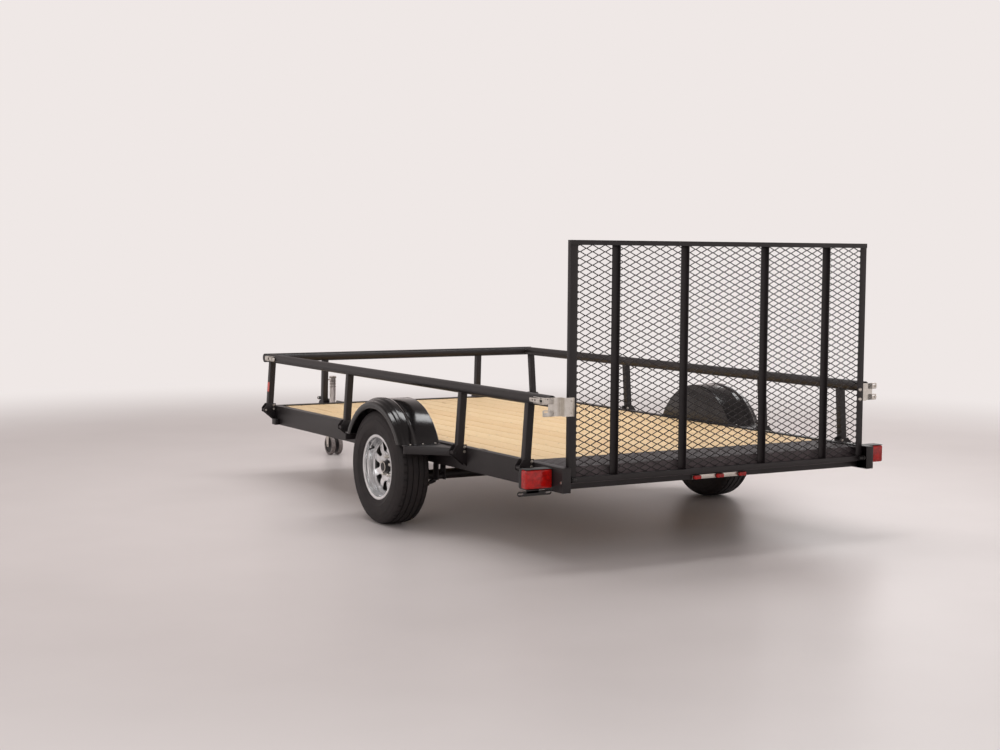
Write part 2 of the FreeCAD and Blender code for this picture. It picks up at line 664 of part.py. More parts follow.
def leaf_springs():
    half = ("spring_x - leaf_half", "spring_x + leaf_half")
    leaves = []
    for index, reach in enumerate(LEAVES):
        outer = rod("X", f"leaf_in + {index + 1} * leaf_thick", half, "axle_y", "arc_z")
        inner = rod("X", f"leaf_in + {index} * leaf_thick", half, "axle_y", "arc_z")
        window = box(half, (f"axle_y - {reach}", f"axle_y + {reach}"),
                     (f"leaf_z - {len(LEAVES)} * leaf_thick - cut_over", "eye_z + eye_r"))
        leaves.append(common(cut(outer, inner), window))
    eyes = [rod("X", "eye_r", half, f"axle_y {sign} spring_reach", "eye_z") for sign in "-+"]
    bores = [rod("X", "shackle_r + run_fit", half, f"axle_y {sign} spring_reach", "eye_z") for sign in "-+"]
    both_sides("leaf_springs", cut(fuse(*leaves, *eyes), *bores))


def spring_hangers():
    hangers = []
    low = "eye_z - eye_r - hanger_plate"
    for sign in "-+":
        middle = f"axle_y {sign} spring_reach"
        block = box(("lip_in", "half_width"), (f"{middle} - hanger_half", f"{middle} + hanger_half"),
                    (low, "beam_low"))
        slot = box(("spring_x - hanger_in", "spring_x + hanger_in"),
                   (f"{middle} - hanger_half - cut_over", f"{middle} + hanger_half + cut_over"),
                   (f"{low} - cut_over", "beam_low - hanger_plate"))
        pin = rod("X", "shackle_r", ("lip_in", "half_width"), middle, "eye_z")
        hangers.append(fuse(cut(block, slot), pin))
    both_sides("spring_hangers", *hangers)


def mirrored_span(low, high):
    """The same span on the other side of the trailer."""
    return (f"-({high})", f"-({low})")


def axle():
    tube = rod("X", "axle_r", ("-axle_end", "axle_end"), "axle_y", "axle_z")
    hollow = rod("X", "axle_r - axle_wall", ("-axle_end", "axle_end"), "axle_y", "axle_z")
    right = ("spring_x - leaf_half", "spring_x + leaf_half")
    seats = [box(span, ("axle_y - seat_half", "axle_y + seat_half"), ("seat_z", "axle_z"))
             for span in (right, mirrored_span(*right))]
    leaf_low = f"leaf_z - {len(LEAVES)} * leaf_thick - seat_gap"
    clamp = box(("spring_x - leaf_half - clamp_lip", "spring_x + leaf_half + clamp_lip"),
                ("axle_y - seat_half - clamp_lip", "axle_y + seat_half + clamp_lip"),
                (f"{leaf_low} - leaf_thick", leaf_low))
    node("axle", cut(fuse(tube, *seats), hollow), clamp, mirror(clamp))
    plate = box(("axle_end", "axle_end + drop_plate"), ("axle_y - drop_half", "axle_y + drop_half"),
                ("axle_z - drop_half", "tyre_r + drop_half"))
    spindle = rod("X", "spindle_r", ("axle_end + drop_plate", "wheel_x + cap_out - spindle_short"),
                  "axle_y", "tyre_r")
    both_sides("axle_ends", fuse(plate, spindle))


def wheel(side, sign):
    x = f"{sign}wheel_x"
    mirrored = sign == "-"

    def placed(points):
        """Profile points are (outboard, radius) from the wheel's middle plane."""
        signed = [(f"-({along})" if mirrored else along, radius) for along, radius in points]
        return turned(signed, "X", x, "axle_y", "tyre_r")

    def across(low, high):
        """A span given outboard of the wheel's middle plane."""
        if mirrored:
            return (f"-(wheel_x + {high})", f"-(wheel_x + {low})")
        return (f"wheel_x + {low}", f"wheel_x + {high}")

    bead = "rim_r + seat_gap / 2"
    crown = [
        ("-rim_half", bead),
        ("-rim_half", "rim_lip + bead_step"),
        ("-tyre_half", "rim_lip + wall_low"),
        ("-tyre_half", "tyre_r - wall_high"),
        ("-tyre_half + shoulder_in", "tyre_r - shoulder_drop"),
        ("-tyre_half + tread_in", "tyre_r - tread_drop"),
        ("0", "tyre_r"),
        ("tyre_half - tread_in", "tyre_r - tread_drop"),
        ("tyre_half - shoulder_in", "tyre_r - shoulder_drop"),
        ("tyre_half", "tyre_r - wall_high"),
        ("tyre_half", "rim_lip + wall_low"),
        ("rim_half", "rim_lip + bead_step"),
        ("rim_half", bead),
        ("rim_half - tyre_skin", bead),
        ("tyre_half - tyre_skin", "rim_lip + wall_low"),
        ("tyre_half - tyre_skin", "tyre_r - liner_low"),
        ("tyre_half - liner_in", "tyre_r - tread_thick"),
        ("-tyre_half + liner_in", "tyre_r - tread_thick"),
        ("-tyre_half + tyre_skin", "tyre_r - liner_low"),
        ("-tyre_half + tyre_skin", "rim_lip + wall_low"),
        ("-rim_half + tyre_skin", bead),
    ]
    node(f"tyre_{side}", placed(crown))
    barrel = placed([
        ("-rim_half - rim_wall", "rim_r - rim_wall"),
        ("-rim_half - rim_wall", "rim_lip"),
        ("-rim_half - seat_gap", "rim_lip"),
        ("-rim_half - seat_gap", "rim_r"),
        ("-rim_half + bead_seat", "rim_r"),
        ("-rim_half + well_side", "rim_r - well_deep"),
        ("rim_half - well_side", "rim_r - well_deep"),
        ("rim_half - bead_seat", "rim_r"),
        ("rim_half + seat_gap", "rim_r"),
        ("rim_half + seat_gap", "rim_lip"),
        ("rim_half + rim_wall", "rim_lip"),
        ("rim_half + rim_wall", "rim_r - rim_wall"),
        ("rim_half - bead_seat - rim_wall / 2", "rim_r - rim_wall"),
        ("rim_half - well_side - rim_wall / 2", "well_r"),
        ("-rim_half + well_side + rim_wall / 2", "well_r"),
        ("-rim_half + bead_seat + rim_wall / 2", "rim_r - rim_wall"),
    ])
    node(f"rim_{side}", barrel)
    windows = []
    disc = rod("X", "well_r - run_fit", across("disc_out", "disc_out + disc_thick"), "axle_y", "tyre_r")
    disc_span = across("disc_out - cut_over", "disc_out + disc_thick + cut_over")
    pilot = rod("X", "pilot_r", disc_span, "axle_y", "tyre_r")
    for index in range(WHEEL_WINDOWS):
        window = doc.addObject("Part::Prism", "Window")
        window.Polygon = 3
        window.setExpression("Circumradius", bound("window_r"))
        window.setExpression("Height", bound(f"({disc_span[1]}) - ({disc_span[0]})"))
        turn = 360 / WHEEL_WINDOWS * (index + 0.5)
        spin = FreeCAD.Rotation(FreeCAD.Vector(1, 0, 0), turn)
        window.Placement = FreeCAD.Placement(FreeCAD.Vector(), spin.multiply(TURN["X"]))
        arm = spin.multVec(FreeCAD.Vector(0, 0, 1))
        window.setExpression(".Placement.Base.x", bound(disc_span[0]))
        window.setExpression(".Placement.Base.y", bound(f"axle_y + window_circle_r * {arm.y:.6f}"))
        window.setExpression(".Placement.Base.z", bound(f"tyre_r + window_circle_r * {arm.z:.6f}"))
        windows.append(window)
    holes = []
    studs = []
    for index in range(WHEEL_LUGS):
        arm = FreeCAD.Rotation(FreeCAD.Vector(1, 0, 0), 360 / WHEEL_LUGS * index).multVec(
            FreeCAD.Vector(0, 0, 1))
        spot = (f"axle_y + lug_circle_r * {arm.y:.6f}", f"tyre_r + lug_circle_r * {arm.z:.6f}")
        holes.append(rod("X", "lug_r + run_fit", disc_span, *spot))
        studs.append(rod("X", "lug_r", across("disc_out - hub_flange / 2", "disc_out + stud_out"), *spot))
    node(f"wheel_disc_{side}", cut(disc, pilot, *windows, *holes))
    housing = placed([
        ("-hub_back", "spindle_r + run_fit"),
        ("-hub_back", "hub_r"),
        ("disc_out - hub_flange", "hub_r"),
        ("disc_out - hub_flange", "hub_flange_r"),
        ("disc_out", "hub_flange_r"),
        ("disc_out", "hub_r"),
        ("disc_out + pilot_len", "hub_r"),
        ("disc_out + pilot_len", "cap_r"),
        ("cap_out - cap_round", "cap_r"),
        ("cap_out", "cap_r - cap_round"),
        ("cap_out", "0"),
        ("cap_out - cap_thick", "0"),
        ("cap_out - cap_thick", "spindle_r + run_fit"),
    ])
    node(f"hub_{side}", fuse(housing, *studs))


# ---------------------------------------------------------------- rails
def side_post_rows():
    return [
        "rear + post_one",
        "axle_y - fender_chord - ledge_len - post_two",
        "axle_y + fender_chord + post_three",
        "front - post_four",
    ]


def ear_outline(face):
    """Bracket outline beside a post, outward from a beam face."""
    return [
        (face, "beam_top + ear_rise"),
        (f"{face} + pivot_out - lug_ring", "beam_top + ear_rise"),
        (f"{face} + pivot_out + ear_edge", "pivot_z + ear_edge"),
        (f"{face} + pivot_out + ear_edge", "pivot_z - ear_edge"),
        (f"{face} + pivot_out", "pivot_z - ear_edge - ear_plate"),
        (face, "beam_top - ear_foot"),
    ]


def rail_brackets_and_pins():
    reach = "half_post + ear_gap + ear_plate"
    plates = []
    pins = []
    for row in side_post_rows():
        for sign in "-+":
            plate = slab("XZ_Plane", ear_outline("half_width"),
                         f"{row} {sign} (half_post + ear_gap + ear_plate / 2)", "ear_plate")
            past = (f"{row} - ({reach} + cut_over)", f"{row} + {reach} + cut_over")
            hole = rod("Y", "pivot_r + run_fit", past, "pivot_x", "pivot_z")
            plates.append(cut(plate, hole))
        near = f"{row} - ({reach})"
        far = f"{row} + {reach}"
        pins.append(fuse(
            rod("Y", "pivot_r", (near, far), "pivot_x", "pivot_z"),
            rod("Y", "bolt_head_r", (f"{near} - bolt_head", near), "pivot_x", "pivot_z"),
            rod("Y", "bolt_head_r", (far, f"{far} + bolt_head"), "pivot_x", "pivot_z")))
    for sign in "-+":
        plate = slab("YZ_Plane", ear_outline("front"),
                     f"front_post_x {sign} (half_post + ear_gap + ear_plate / 2)", "ear_plate")
        hole = rod("X", "pivot_r + run_fit",
                   (f"front_post_x - ({reach} + cut_over)", f"front_post_x + {reach} + cut_over"),
                   "front_pivot_y", "pivot_z")
        plates.append(cut(plate, hole))
    spot = ("front_pivot_y", "pivot_z")
    near = f"front_post_x - ({reach})"
    far = f"front_post_x + {reach}"
    pins.append(fuse(
        rod("X", "pivot_r", (near, far), *spot),
        rod("X", "bolt_head_r", (f"{near} - bolt_head", near), *spot),
        rod("X", "bolt_head_r", (far, f"{far} + bolt_head"), *spot)))
    both_sides("rail_brackets", *plates)
    both_sides("rail_pins", *pins)


def post_outline(face, tube):
    """A post's outline from its foot up to the tube's centre, outward from a beam face."""
    foot = f"{face} + post_out"
    return [
        (f"{foot} - half_post", "foot_z"),
        (f"{foot} + half_post", "foot_z"),
        (f"{tube} + half_post", "rail_z"),
        (f"{tube} - half_post", "rail_z"),
    ]


def side_rail(side, sign):
    flip = mirror if sign == "-" else (lambda piece: piece)
    tube_span = ("rail_rear_end", "rail_front_end")
    bore = ("rail_rear_end + plug_thick", "rail_front_end - plug_thick")
    tube = cut(rod("Y", "rail_r", tube_span, "rail_x", "rail_z"),
               rod("Y", "rail_r - rail_wall", bore, "rail_x", "rail_z"))
    node(f"{side}_rail_tube", flip(tube))
    posts = []
    for row in side_post_rows():
        leg = slab("XZ_Plane", post_outline("half_width", "rail_x"), row, "post_side")
        lug = rod("Y", "lug_ring", (f"{row} - half_post", f"{row} + half_post"), "pivot_x", "pivot_z")
        bridge = box(("post_x", "pivot_x"), (f"{row} - half_post", f"{row} + half_post"),
                     ("pivot_z - lug_ring", "pivot_z + lug_ring"))
        past = (f"{row} - half_post - cut_over", f"{row} + half_post + cut_over")
        cope = rod("Y", "rail_r + run_fit", past, "rail_x", "rail_z")
        hole = rod("Y", "pivot_r + run_fit", past, "pivot_x", "pivot_z")
        posts.append(flip(cut(fuse(leg, lug, bridge), cope, hole)))
    node(f"{side}_rail_posts", *posts)
    latches = []
    for low, high in (("rail_rear_end + latch_inset", "rail_rear_end + latch_inset + latch_len"),
                      ("rail_front_end - latch_inset - latch_len", "rail_front_end - latch_inset")):
        saddle = box(("rail_x", "rail_x + rail_r + latch_rise"), (low, high),
                     ("rail_z - latch_half", "rail_z + latch_half"))
        saddle_cut = rod("Y", "rail_r + run_fit", (low, high), "rail_x", "rail_z")
        latches.append(flip(cut(saddle, saddle_cut)))
    node(f"{side}_rail_latches", *latches)


def front_rail():
    span = ("-front_rail_half", "front_rail_half")
    bore = ("-front_rail_half + plug_thick", "front_rail_half - plug_thick")
    tube = cut(rod("X", "rail_r", span, "front_tube_y", "rail_z"),
               rod("X", "rail_r - rail_wall", bore, "front_tube_y", "rail_z"))
    node("front_rail_tube", tube)
    width = ("front_post_x - half_post", "front_post_x + half_post")
    wide = ("front_post_x - half_post - cut_over", "front_post_x + half_post + cut_over")
    leg = slab("YZ_Plane", post_outline("front", "front_tube_y"), "front_post_x", "post_side")
    lug = rod("X", "lug_ring", width, "front_pivot_y", "pivot_z")
    bridge = box(width, ("front_post_y", "front_pivot_y"), ("pivot_z - lug_ring", "pivot_z + lug_ring"))
    cope = rod("X", "rail_r + run_fit", wide, "front_tube_y", "rail_z")
    hole = rod("X", "pivot_r + run_fit", wide, "front_pivot_y", "pivot_z")
    both_sides("front_rail_posts", cut(fuse(leg, lug, bridge), cope, hole))


# ---------------------------------------------------------------- ramp gate
def gate():
    bottom = slab("YZ_Plane", [
        ("gate_rear", "gate_low"),
        ("gate_rear + gate_wall", "gate_low"),
        ("gate_rear + gate_wall", "ledge_top - gate_wall"),
        ("gate_front", "ledge_top - gate_wall"),
        ("gate_front", "ledge_top"),
        ("gate_rear", "ledge_top"),
    ], 0, "2 * gate_half")
    top = slab("YZ_Plane", [
        ("gate_rear", "gate_high - gate_cap"),
        ("gate_rear + gate_wall", "gate_high - gate_cap"),
        ("gate_rear + gate_wall", "gate_high - gate_wall"),
        ("gate_front", "gate_high - gate_wall"),
        ("gate_front", "gate_high"),
        ("gate_rear", "gate_high"),
    ], 0, "2 * gate_half")
    node("gate_bars", bottom, top)
    tall = "gate_high - gate_wall - ledge_top"
    middle = "(gate_high - gate_wall + ledge_top) / 2"
    inner = "gate_rear + gate_wall"
    post = slab("XY_Plane", [
        ("gate_half - gate_leg", inner),
        ("gate_half", inner),
        ("gate_half", "gate_front"),
        ("gate_half - gate_wall", "gate_front"),
        ("gate_half - gate_wall", f"{inner} + gate_wall"),
        ("gate_half - gate_leg", f"{inner} + gate_wall"),
    ], middle, tall)
    both_sides("gate_posts", post)
    uprights = []
    for place in ("-upright_outer", "-upright_inner", "upright_inner", "upright_outer"):
        edge = f"{place} + upright_wide / 2"
        uprights.append(slab("XY_Plane", [
            (f"{place} - upright_wide / 2", "mesh_rear - gate_wall"),
            (f"{edge} - gate_wall", "mesh_rear - gate_wall"),
            (f"{edge} - gate_wall", inner),
            (edge, inner),
            (edge, "mesh_rear"),
            (f"{place} - upright_wide / 2", "mesh_rear"),
        ], middle, tall))
    node("gate_uprights", *uprights)
    node("gate_mesh", box(("-gate_half + gate_wall", "gate_half - gate_wall"), ("mesh_rear", "gate_front"),
                          ("ledge_top", "gate_high - gate_wall")))


def gate_fittings():
    tab_x = ("gate_half - hinge_tab - gate_wall", "gate_half - gate_wall")
    tab = fuse(rod("X", "hinge_ring", tab_x, "hinge_y", "hinge_z"),
               box(tab_x, ("hinge_y", "gate_rear"), ("hinge_z - hinge_ring", "hinge_z + hinge_ring")))
    hole = rod("X", "hinge_r + run_fit", ("gate_half - gate_leg", "gate_half"), "hinge_y", "hinge_z")
    both_sides("gate_hinge_tabs", cut(tab, hole))
    both_sides("gate_hinge_pins",
               rod("X", "hinge_r", ("gate_half - hinge_in", "web_in"), "hinge_y", "hinge_z"))
    high = ("beam_top + catch_low", "beam_top + catch_low + catch_tall")
    back = "gate_rear + gate_wall"
    flange = box(("gate_half - catch_in", "catch_x"), (f"{back} - catch_thick", back), high)
    step = box(("catch_x - catch_thick", "catch_x"), (back, f"{back} + catch_jog"), high)
    depth = (f"{back} + catch_jog - catch_thick", f"{back} + catch_jog")
    wing = box(("catch_x - catch_thick", "rail_x + catch_wing"), depth, high)
    ears = [box(("rail_x", "rail_x + catch_ear"), depth, span) for span in (
        (high[0], f"{high[0]} + catch_claw"), (f"{high[1]} - catch_claw", high[1]))]
    both_sides("gate_latch_plates", fuse(flange, step, wing, *ears))


# ---------------------------------------------------------------- lamps and licence bracket
def tail_lamps():
    case = box(("lamp_x", "lamp_end"), ("house_back", "house_front"), ("lamp_low", "lamp_top"))
    recess = box(("lamp_x + lamp_rim", "lamp_end - lamp_rim"),
                 ("house_back - lens_proud", "house_back + lens_proud"),
                 ("lamp_low + lamp_rim", "lamp_top - lamp_rim"))
    both_sides("tail_lamps", cut(case, recess))
    rim = "lamp_rim + seat_gap"
    both_sides("tail_lamp_lenses", box((f"lamp_x + {rim}", f"lamp_end - ({rim})"),
                                       ("rear + lamp_back", "house_back + lens_proud"),
                                       (f"lamp_low + {rim}", f"lamp_top - ({rim})")))
    both_sides("lamp_brackets", box(("half_width", "lamp_x + lamp_wide / 2"),
                                    ("house_front", "house_front + lamp_bracket"),
                                    ("lamp_low", "lamp_top - bracket_drop")))


def licence_bracket():
    back = "rear + lamp_back + lens_proud + plate_gauge"
    ends = ("-(half_width + plate_out)", "-(half_width + plate_in)")
    face = box(ends, (back, f"{back} + plate_gauge"), ("lamp_low - plate_flat - plate_gauge", "lamp_low"))
    shelf = box((f"{ends[0]} + shelf_inset", "-lamp_x"), (back, "house_front + lamp_bracket"),
                ("lamp_low - plate_gauge", "lamp_low"))
    slots = []
    span = (f"{back} - cut_over", f"{back} + plate_gauge + cut_over")
    height = "lamp_low - plate_gauge - plate_flat / 2"
    for place in ("-(half_width + slot_out)", "-(half_width + slot_out + slot_pitch)"):
        slots.append(box((f"{place} - slot_half", f"{place} + slot_half"), span,
                         (f"{height} - slot_r", f"{height} + slot_r")))
        slots.append(rod("Y", "slot_r", span, f"{place} - slot_half", height))
        slots.append(rod("Y", "slot_r", span, f"{place} + slot_half", height))
    node("licence_bracket", cut(fuse(face, shelf), *slots))


def identification_lamps():
    low, high = "cross_low + joint_gap", "cross_low + rear_box_tall - joint_gap"
    node("id_light_bar", box(("-id_pitch - id_half", "id_pitch + id_half"),
                             ("id_rear", "id_rear + id_bar"), (low, high)))
    lenses = []
    for place in ("-id_pitch", "0", "id_pitch"):
        lenses.append(box((f"{place} - id_half", f"{place} + id_half"), ("id_rear - id_lens", "id_rear"),
                          (low, high)))
    node("id_light_lenses", *lenses)


# ---------------------------------------------------------------- tongue jack
def jack():
    plate = box(("-tongue_half - jack_plate", "-tongue_half"),
                ("jack_y - jack_plate_half", "jack_y + jack_plate_half"), ("tongue_low", "cross_low"))
    stub = rod("X", "jack_stub_r", ("-jack_out + boss_in - stub_in", "-tongue_half - jack_plate"),
               "jack_y", "tongue_mid")
    node("jack_mount", fuse(plate, stub))

    spot = ("-jack_out", "jack_y")
    tube = rod("Z", "jack_r", ("jack_low", "jack_high"), *spot)
    cap = rod("Z", "jack_cap_r", ("jack_high", "jack_high + jack_cap"), *spot)
    boss = rod("X", "jack_boss_r", ("-jack_out", "-jack_out + boss_in"), "jack_y", "tongue_mid")
    socket_span = ("-jack_out + boss_in - stub_in - joint_gap", "-jack_out + boss_in")
    socket = rod("X", "jack_stub_r + run_fit", socket_span, "jack_y", "tongue_mid")
    bore = rod("Z", "jack_leg_r + run_fit", ("jack_low", "jack_high - crank_drop - grip_r"), *spot)
    shaft = rod("X", "crank_r", ("crank_x", "-jack_out"), "jack_y", "crank_z")
    arm = box(("crank_x - crank_thick", "crank_x"), ("jack_y - crank_r", "jack_y + crank_r"),
              ("crank_z - crank_len", "crank_z + crank_r"))
    grip = rod("X", "grip_r", ("crank_x - crank_thick - grip_len", "crank_x - crank_thick"),
               "jack_y", "crank_z - crank_len + grip_r")
    node("jack_outer_tube", cut(fuse(tube, cap, boss, shaft, arm, grip), socket, bore))

    leg = rod("Z", "jack_leg_r", ("jack_leg_low", "jack_leg_top"), *spot)
    hollow = rod("Z", "jack_leg_r - jack_leg_wall", ("jack_leg_low + jack_plug", "jack_leg_top"), *spot)
    king_hole = rod("Z", "king_r + run_fit", ("jack_leg_low", "jack_leg_low + jack_plug"), *spot)
    node("jack_inner_tube", cut(leg, hollow, king_hole))

    fork_rear = "caster_y - fork_leg_half"
    fork_front = "jack_y + fork_leg_half"
    crown = box(("-jack_out - fork_out", "-jack_out + fork_out"), (fork_rear, fork_front),
                ("fork_top - fork_plate", "fork_top"))
    king = rod("Z", "king_r", ("fork_top", "fork_top + king_len"), *spot)
    legs = [slab("YZ_Plane", [
        (fork_rear, "fork_top"),
        (fork_front, "fork_top"),
        ("caster_y + fork_tip", "caster_r - fork_tip"),
        ("caster_y - fork_tip", "caster_r - fork_tip"),
    ], f"-jack_out {sign} (fork_in + fork_leg / 2)", "fork_leg") for sign in "-+"]
    holes = [rod("X", "caster_pin + run_fit", pair, "caster_y", "caster_r") for pair in (
        ("-jack_out - fork_out", "-jack_out - fork_in"), ("-jack_out + fork_in", "-jack_out + fork_out"))]
    node("jack_fork", cut(fuse(crown, king, *legs), *holes))

    pin = rod("X", "caster_pin", ("-jack_out - fork_out", "-jack_out + fork_out"),
              "caster_y", "caster_r")
    wheels = [rod("X", "caster_r", pair, "caster_y", "caster_r") for pair in (
        ("-jack_out - caster_half", "-jack_out - caster_in"),
        ("-jack_out + caster_in", "-jack_out + caster_half"))]
    node("jack_wheels", fuse(pin, *wheels))


side_beams()
front_beam()
rear_beam()
cross_members()
tongue()
coupler()
deck()
fenders()
fender_brackets()
leaf_springs()
spring_hangers()
axle()
wheel("left", "-")
wheel("right", "")
rail_brackets_and_pins()
side_rail("left", "-")
side_rail("right", "")
front_rail()
gate()
gate_fittings()
tail_lamps()
licence_bracket()
identification_lamps()
jack()

# ---------------------------------------------------------------- check and write
doc.recompute()
for item in doc.Objects:
    if "Invalid" in item.State or "Error" in item.State:
        raise RuntimeError(f"{item.Name} ({item.Label}) did not build: {item.State}")
for part in NODES:
    if part.Shape.isNull() or not part.Shape.isValid():
        raise RuntimeError(f"{part.Label} has no valid shape")
    if not part.Shape.Solids:
        raise RuntimeError(f"{part.Label} holds no solid")

os.makedirs("parts", exist_ok=True)
for part in NODES:
    part.Shape.exportStep(f"parts/{part.Label}.step")
    print(part.Label, len(part.Shape.Solids), f"{part.Shape.Volume:.0f}")
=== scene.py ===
"""Looks of the utility trailer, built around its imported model. Lengths are metres, unless in mm."""
import json
import math
import random

import bmesh
import bpy
from mathutils import Matrix, Vector
from mathutils.bvhtree import BVHTree

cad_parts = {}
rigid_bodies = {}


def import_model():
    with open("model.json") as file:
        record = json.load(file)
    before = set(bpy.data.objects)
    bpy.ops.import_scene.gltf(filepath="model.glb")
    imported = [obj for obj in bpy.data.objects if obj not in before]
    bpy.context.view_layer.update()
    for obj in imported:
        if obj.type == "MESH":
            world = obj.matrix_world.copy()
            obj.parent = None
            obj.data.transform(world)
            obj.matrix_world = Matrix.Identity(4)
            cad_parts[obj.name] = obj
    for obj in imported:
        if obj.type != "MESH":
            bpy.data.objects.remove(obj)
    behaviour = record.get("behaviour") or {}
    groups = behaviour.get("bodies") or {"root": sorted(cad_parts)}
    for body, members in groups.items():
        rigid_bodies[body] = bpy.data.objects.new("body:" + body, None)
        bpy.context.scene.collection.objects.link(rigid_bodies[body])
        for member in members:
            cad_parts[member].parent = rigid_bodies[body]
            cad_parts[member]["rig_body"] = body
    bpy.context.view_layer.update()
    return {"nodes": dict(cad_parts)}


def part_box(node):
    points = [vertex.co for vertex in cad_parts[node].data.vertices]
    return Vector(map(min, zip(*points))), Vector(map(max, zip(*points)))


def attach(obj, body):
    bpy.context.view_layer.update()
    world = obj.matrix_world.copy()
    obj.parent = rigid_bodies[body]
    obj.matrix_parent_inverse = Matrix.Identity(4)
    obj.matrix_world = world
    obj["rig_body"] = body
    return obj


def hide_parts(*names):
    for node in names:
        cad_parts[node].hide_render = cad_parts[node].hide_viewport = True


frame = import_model()
NODES = frame["nodes"]
MM = 0.001
X, Y, Z = Vector((1, 0, 0)), Vector((0, 1, 0)), Vector((0, 0, 1))
SIDES = {"left": -1, "right": 1}
TRAILER = "trailer_frame"
dice = random.Random(7)

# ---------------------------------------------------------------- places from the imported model
BEAM_LOW, BEAM_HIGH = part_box("side_beams")
OUT = BEAM_HIGH.x
TOP = BEAM_HIGH.z
UNDER = BEAM_LOW.z
REAR = BEAM_LOW.y
DECK_LOW, DECK_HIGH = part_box("deck_planks")
PLATE_LOW, PLATE_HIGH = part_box("grip_plate")
RAIL_LOW, RAIL_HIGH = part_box("right_rail_tube")
FRONT_RAIL_LOW, FRONT_RAIL_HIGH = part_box("front_rail_tube")
MESH_LOW, MESH_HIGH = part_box("gate_mesh")
TYRE_LOW, TYRE_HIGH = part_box("tyre_right")
FENDER_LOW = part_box("fenders")[0]
JACK_LOW, JACK_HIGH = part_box("jack_outer_tube")
LEG_LOW, LEG_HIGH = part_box("jack_inner_tube")
CASTER_LOW, CASTER_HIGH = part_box("jack_wheels")
COUPLER_LOW, COUPLER_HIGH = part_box("coupler")
TONGUE_LOW, TONGUE_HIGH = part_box("tongue")

AXLE = Vector((0, (TYRE_LOW.y + TYRE_HIGH.y) / 2, (TYRE_LOW.z + TYRE_HIGH.z) / 2))
WHEEL_X = (TYRE_LOW.x + TYRE_HIGH.x) / 2
RAIL_R = (RAIL_HIGH.x - RAIL_LOW.x) / 2
RAIL_X = (RAIL_LOW.x + RAIL_HIGH.x) / 2
RAIL_Z = (RAIL_LOW.z + RAIL_HIGH.z) / 2
JACK = Vector(((LEG_LOW.x + LEG_HIGH.x) / 2, (LEG_LOW.y + LEG_HIGH.y) / 2, 0))


# ---------------------------------------------------------------- finishes
def linear(code):
    """An sRGB hex colour as linear RGBA."""
    parts = [int(code[start:start + 2], 16) / 255 for start in (1, 3, 5)]
    return [p / 12.92 if p <= 0.04045 else ((p + 0.055) / 1.055) ** 2.4 for p in parts] + [1.0]


def add(tree, kind, sockets=None, **settings):
    """One shader node: its settings, then its sockets, each a value or another node's output."""
    made = tree.nodes.new("ShaderNode" + kind)
    for name, value in settings.items():
        setattr(made, name, value)
    for name, value in (sockets or {}).items():
        if isinstance(value, bpy.types.NodeSocket):
            tree.links.new(value, made.inputs[name])
        else:
            made.inputs[name].default_value = value
    return made


def bare(block):
    """A new material or world with no nodes yet, and its node tree."""
    block.use_nodes = True
    block.node_tree.nodes.clear()
    return block, block.node_tree


def finish(name, dark, light, blotch, grain, rough, relief, stretch=(1, 1, 1), **shader):
    """A finish whose colour drifts between two over blotch mm, with a relief mm deep and grain mm wide."""
    made, tree = bare(bpy.data.materials.new(name))
    spot = add(tree, "TexCoord")
    run = add(tree, "Mapping", {"Vector": spot.outputs["Object"], "Scale": stretch})
    drift = add(tree, "TexNoise", {"Vector": run.outputs[0], "Scale": 1000 / blotch, "Detail": 4.0})
    fine = add(tree, "TexNoise", {"Vector": run.outputs[0], "Scale": 1000 / grain, "Detail": 2.0})
    share = add(tree, "MapRange", {"Value": drift.outputs[0], "From Min": 0.35, "From Max": 0.65})
    tone = add(tree, "Mix", {0: share.outputs[0], 6: linear(dark), 7: linear(light)}, data_type="RGBA")
    sheen = add(tree, "MapRange", {"Value": fine.outputs[0], "From Min": 0.3, "From Max": 0.7,
                                   "To Min": rough[0], "To Max": rough[1]})
    bump = add(tree, "Bump", {"Height": fine.outputs[0], "Distance": relief * MM, "Strength": 1.0})
    surface = add(tree, "BsdfPrincipled", {"Base Color": tone.outputs[2], "Roughness": sheen.outputs[0],
                                           "Normal": bump.outputs[0], **shader})
    add(tree, "OutputMaterial", {"Surface": surface.outputs[0]})
    return made


# Black powder coat, baked on: a satin film with a fine orange peel, greyer where dust settles.
powder_coat = finish("black_powder_coat", "#120d0e", "#191315", 140, 3, (0.42, 0.52), 0.05)
# Painted tread plate: the same black, scuffed grey by loading, so rougher and lighter.
scuffed_plate = finish("scuffed_tread_plate", "#292224", "#352d30", 60, 4, (0.62, 0.78), 0.08)
# The same plate's bent edge in a lighter grey: painted light, so the rear beam's web reads lit where the
# gate's bar shades it.
plate_painted_light = finish("rubbed_tread_plate", "#463e40", "#5b5153", 60, 4, (0.45, 0.6), 0.08)
# Moulded gloss polyethylene: deep black, smooth, with the soft waves of a formed sheet.
fender_plastic = finish("moulded_gloss_plastic", "#0f0d0e", "#151313", 220, 30, (0.12, 0.18), 0.2, IOR=1.5)
# Matt moulded ABS of lamp housings, caps and plugs: a fine spark-eroded grain. The caster cores wear it as
# painted shade.
matt_plastic = finish("matt_moulded_plastic", "#1d1b1b", "#272424", 40, 1.5, (0.5, 0.62), 0.06, IOR=1.5)
# Bright zinc plate with a clear passivate: silver with faint warm clouds.
zinc_plate = finish("bright_zinc_plate", "#c9c4bc", "#d6d2cb", 30, 2.5, (0.26, 0.34), 0.01, Metallic=1.0)
# Zinc-plated drawn tube: the same plate with light draw lines along its length.
zinc_tube = finish("zinc_drawn_tube", "#d2ccc9", "#e2deda", 25, 3, (0.32, 0.42), 0.02,
                   stretch=(1, 1, 0.08), Metallic=1.0)
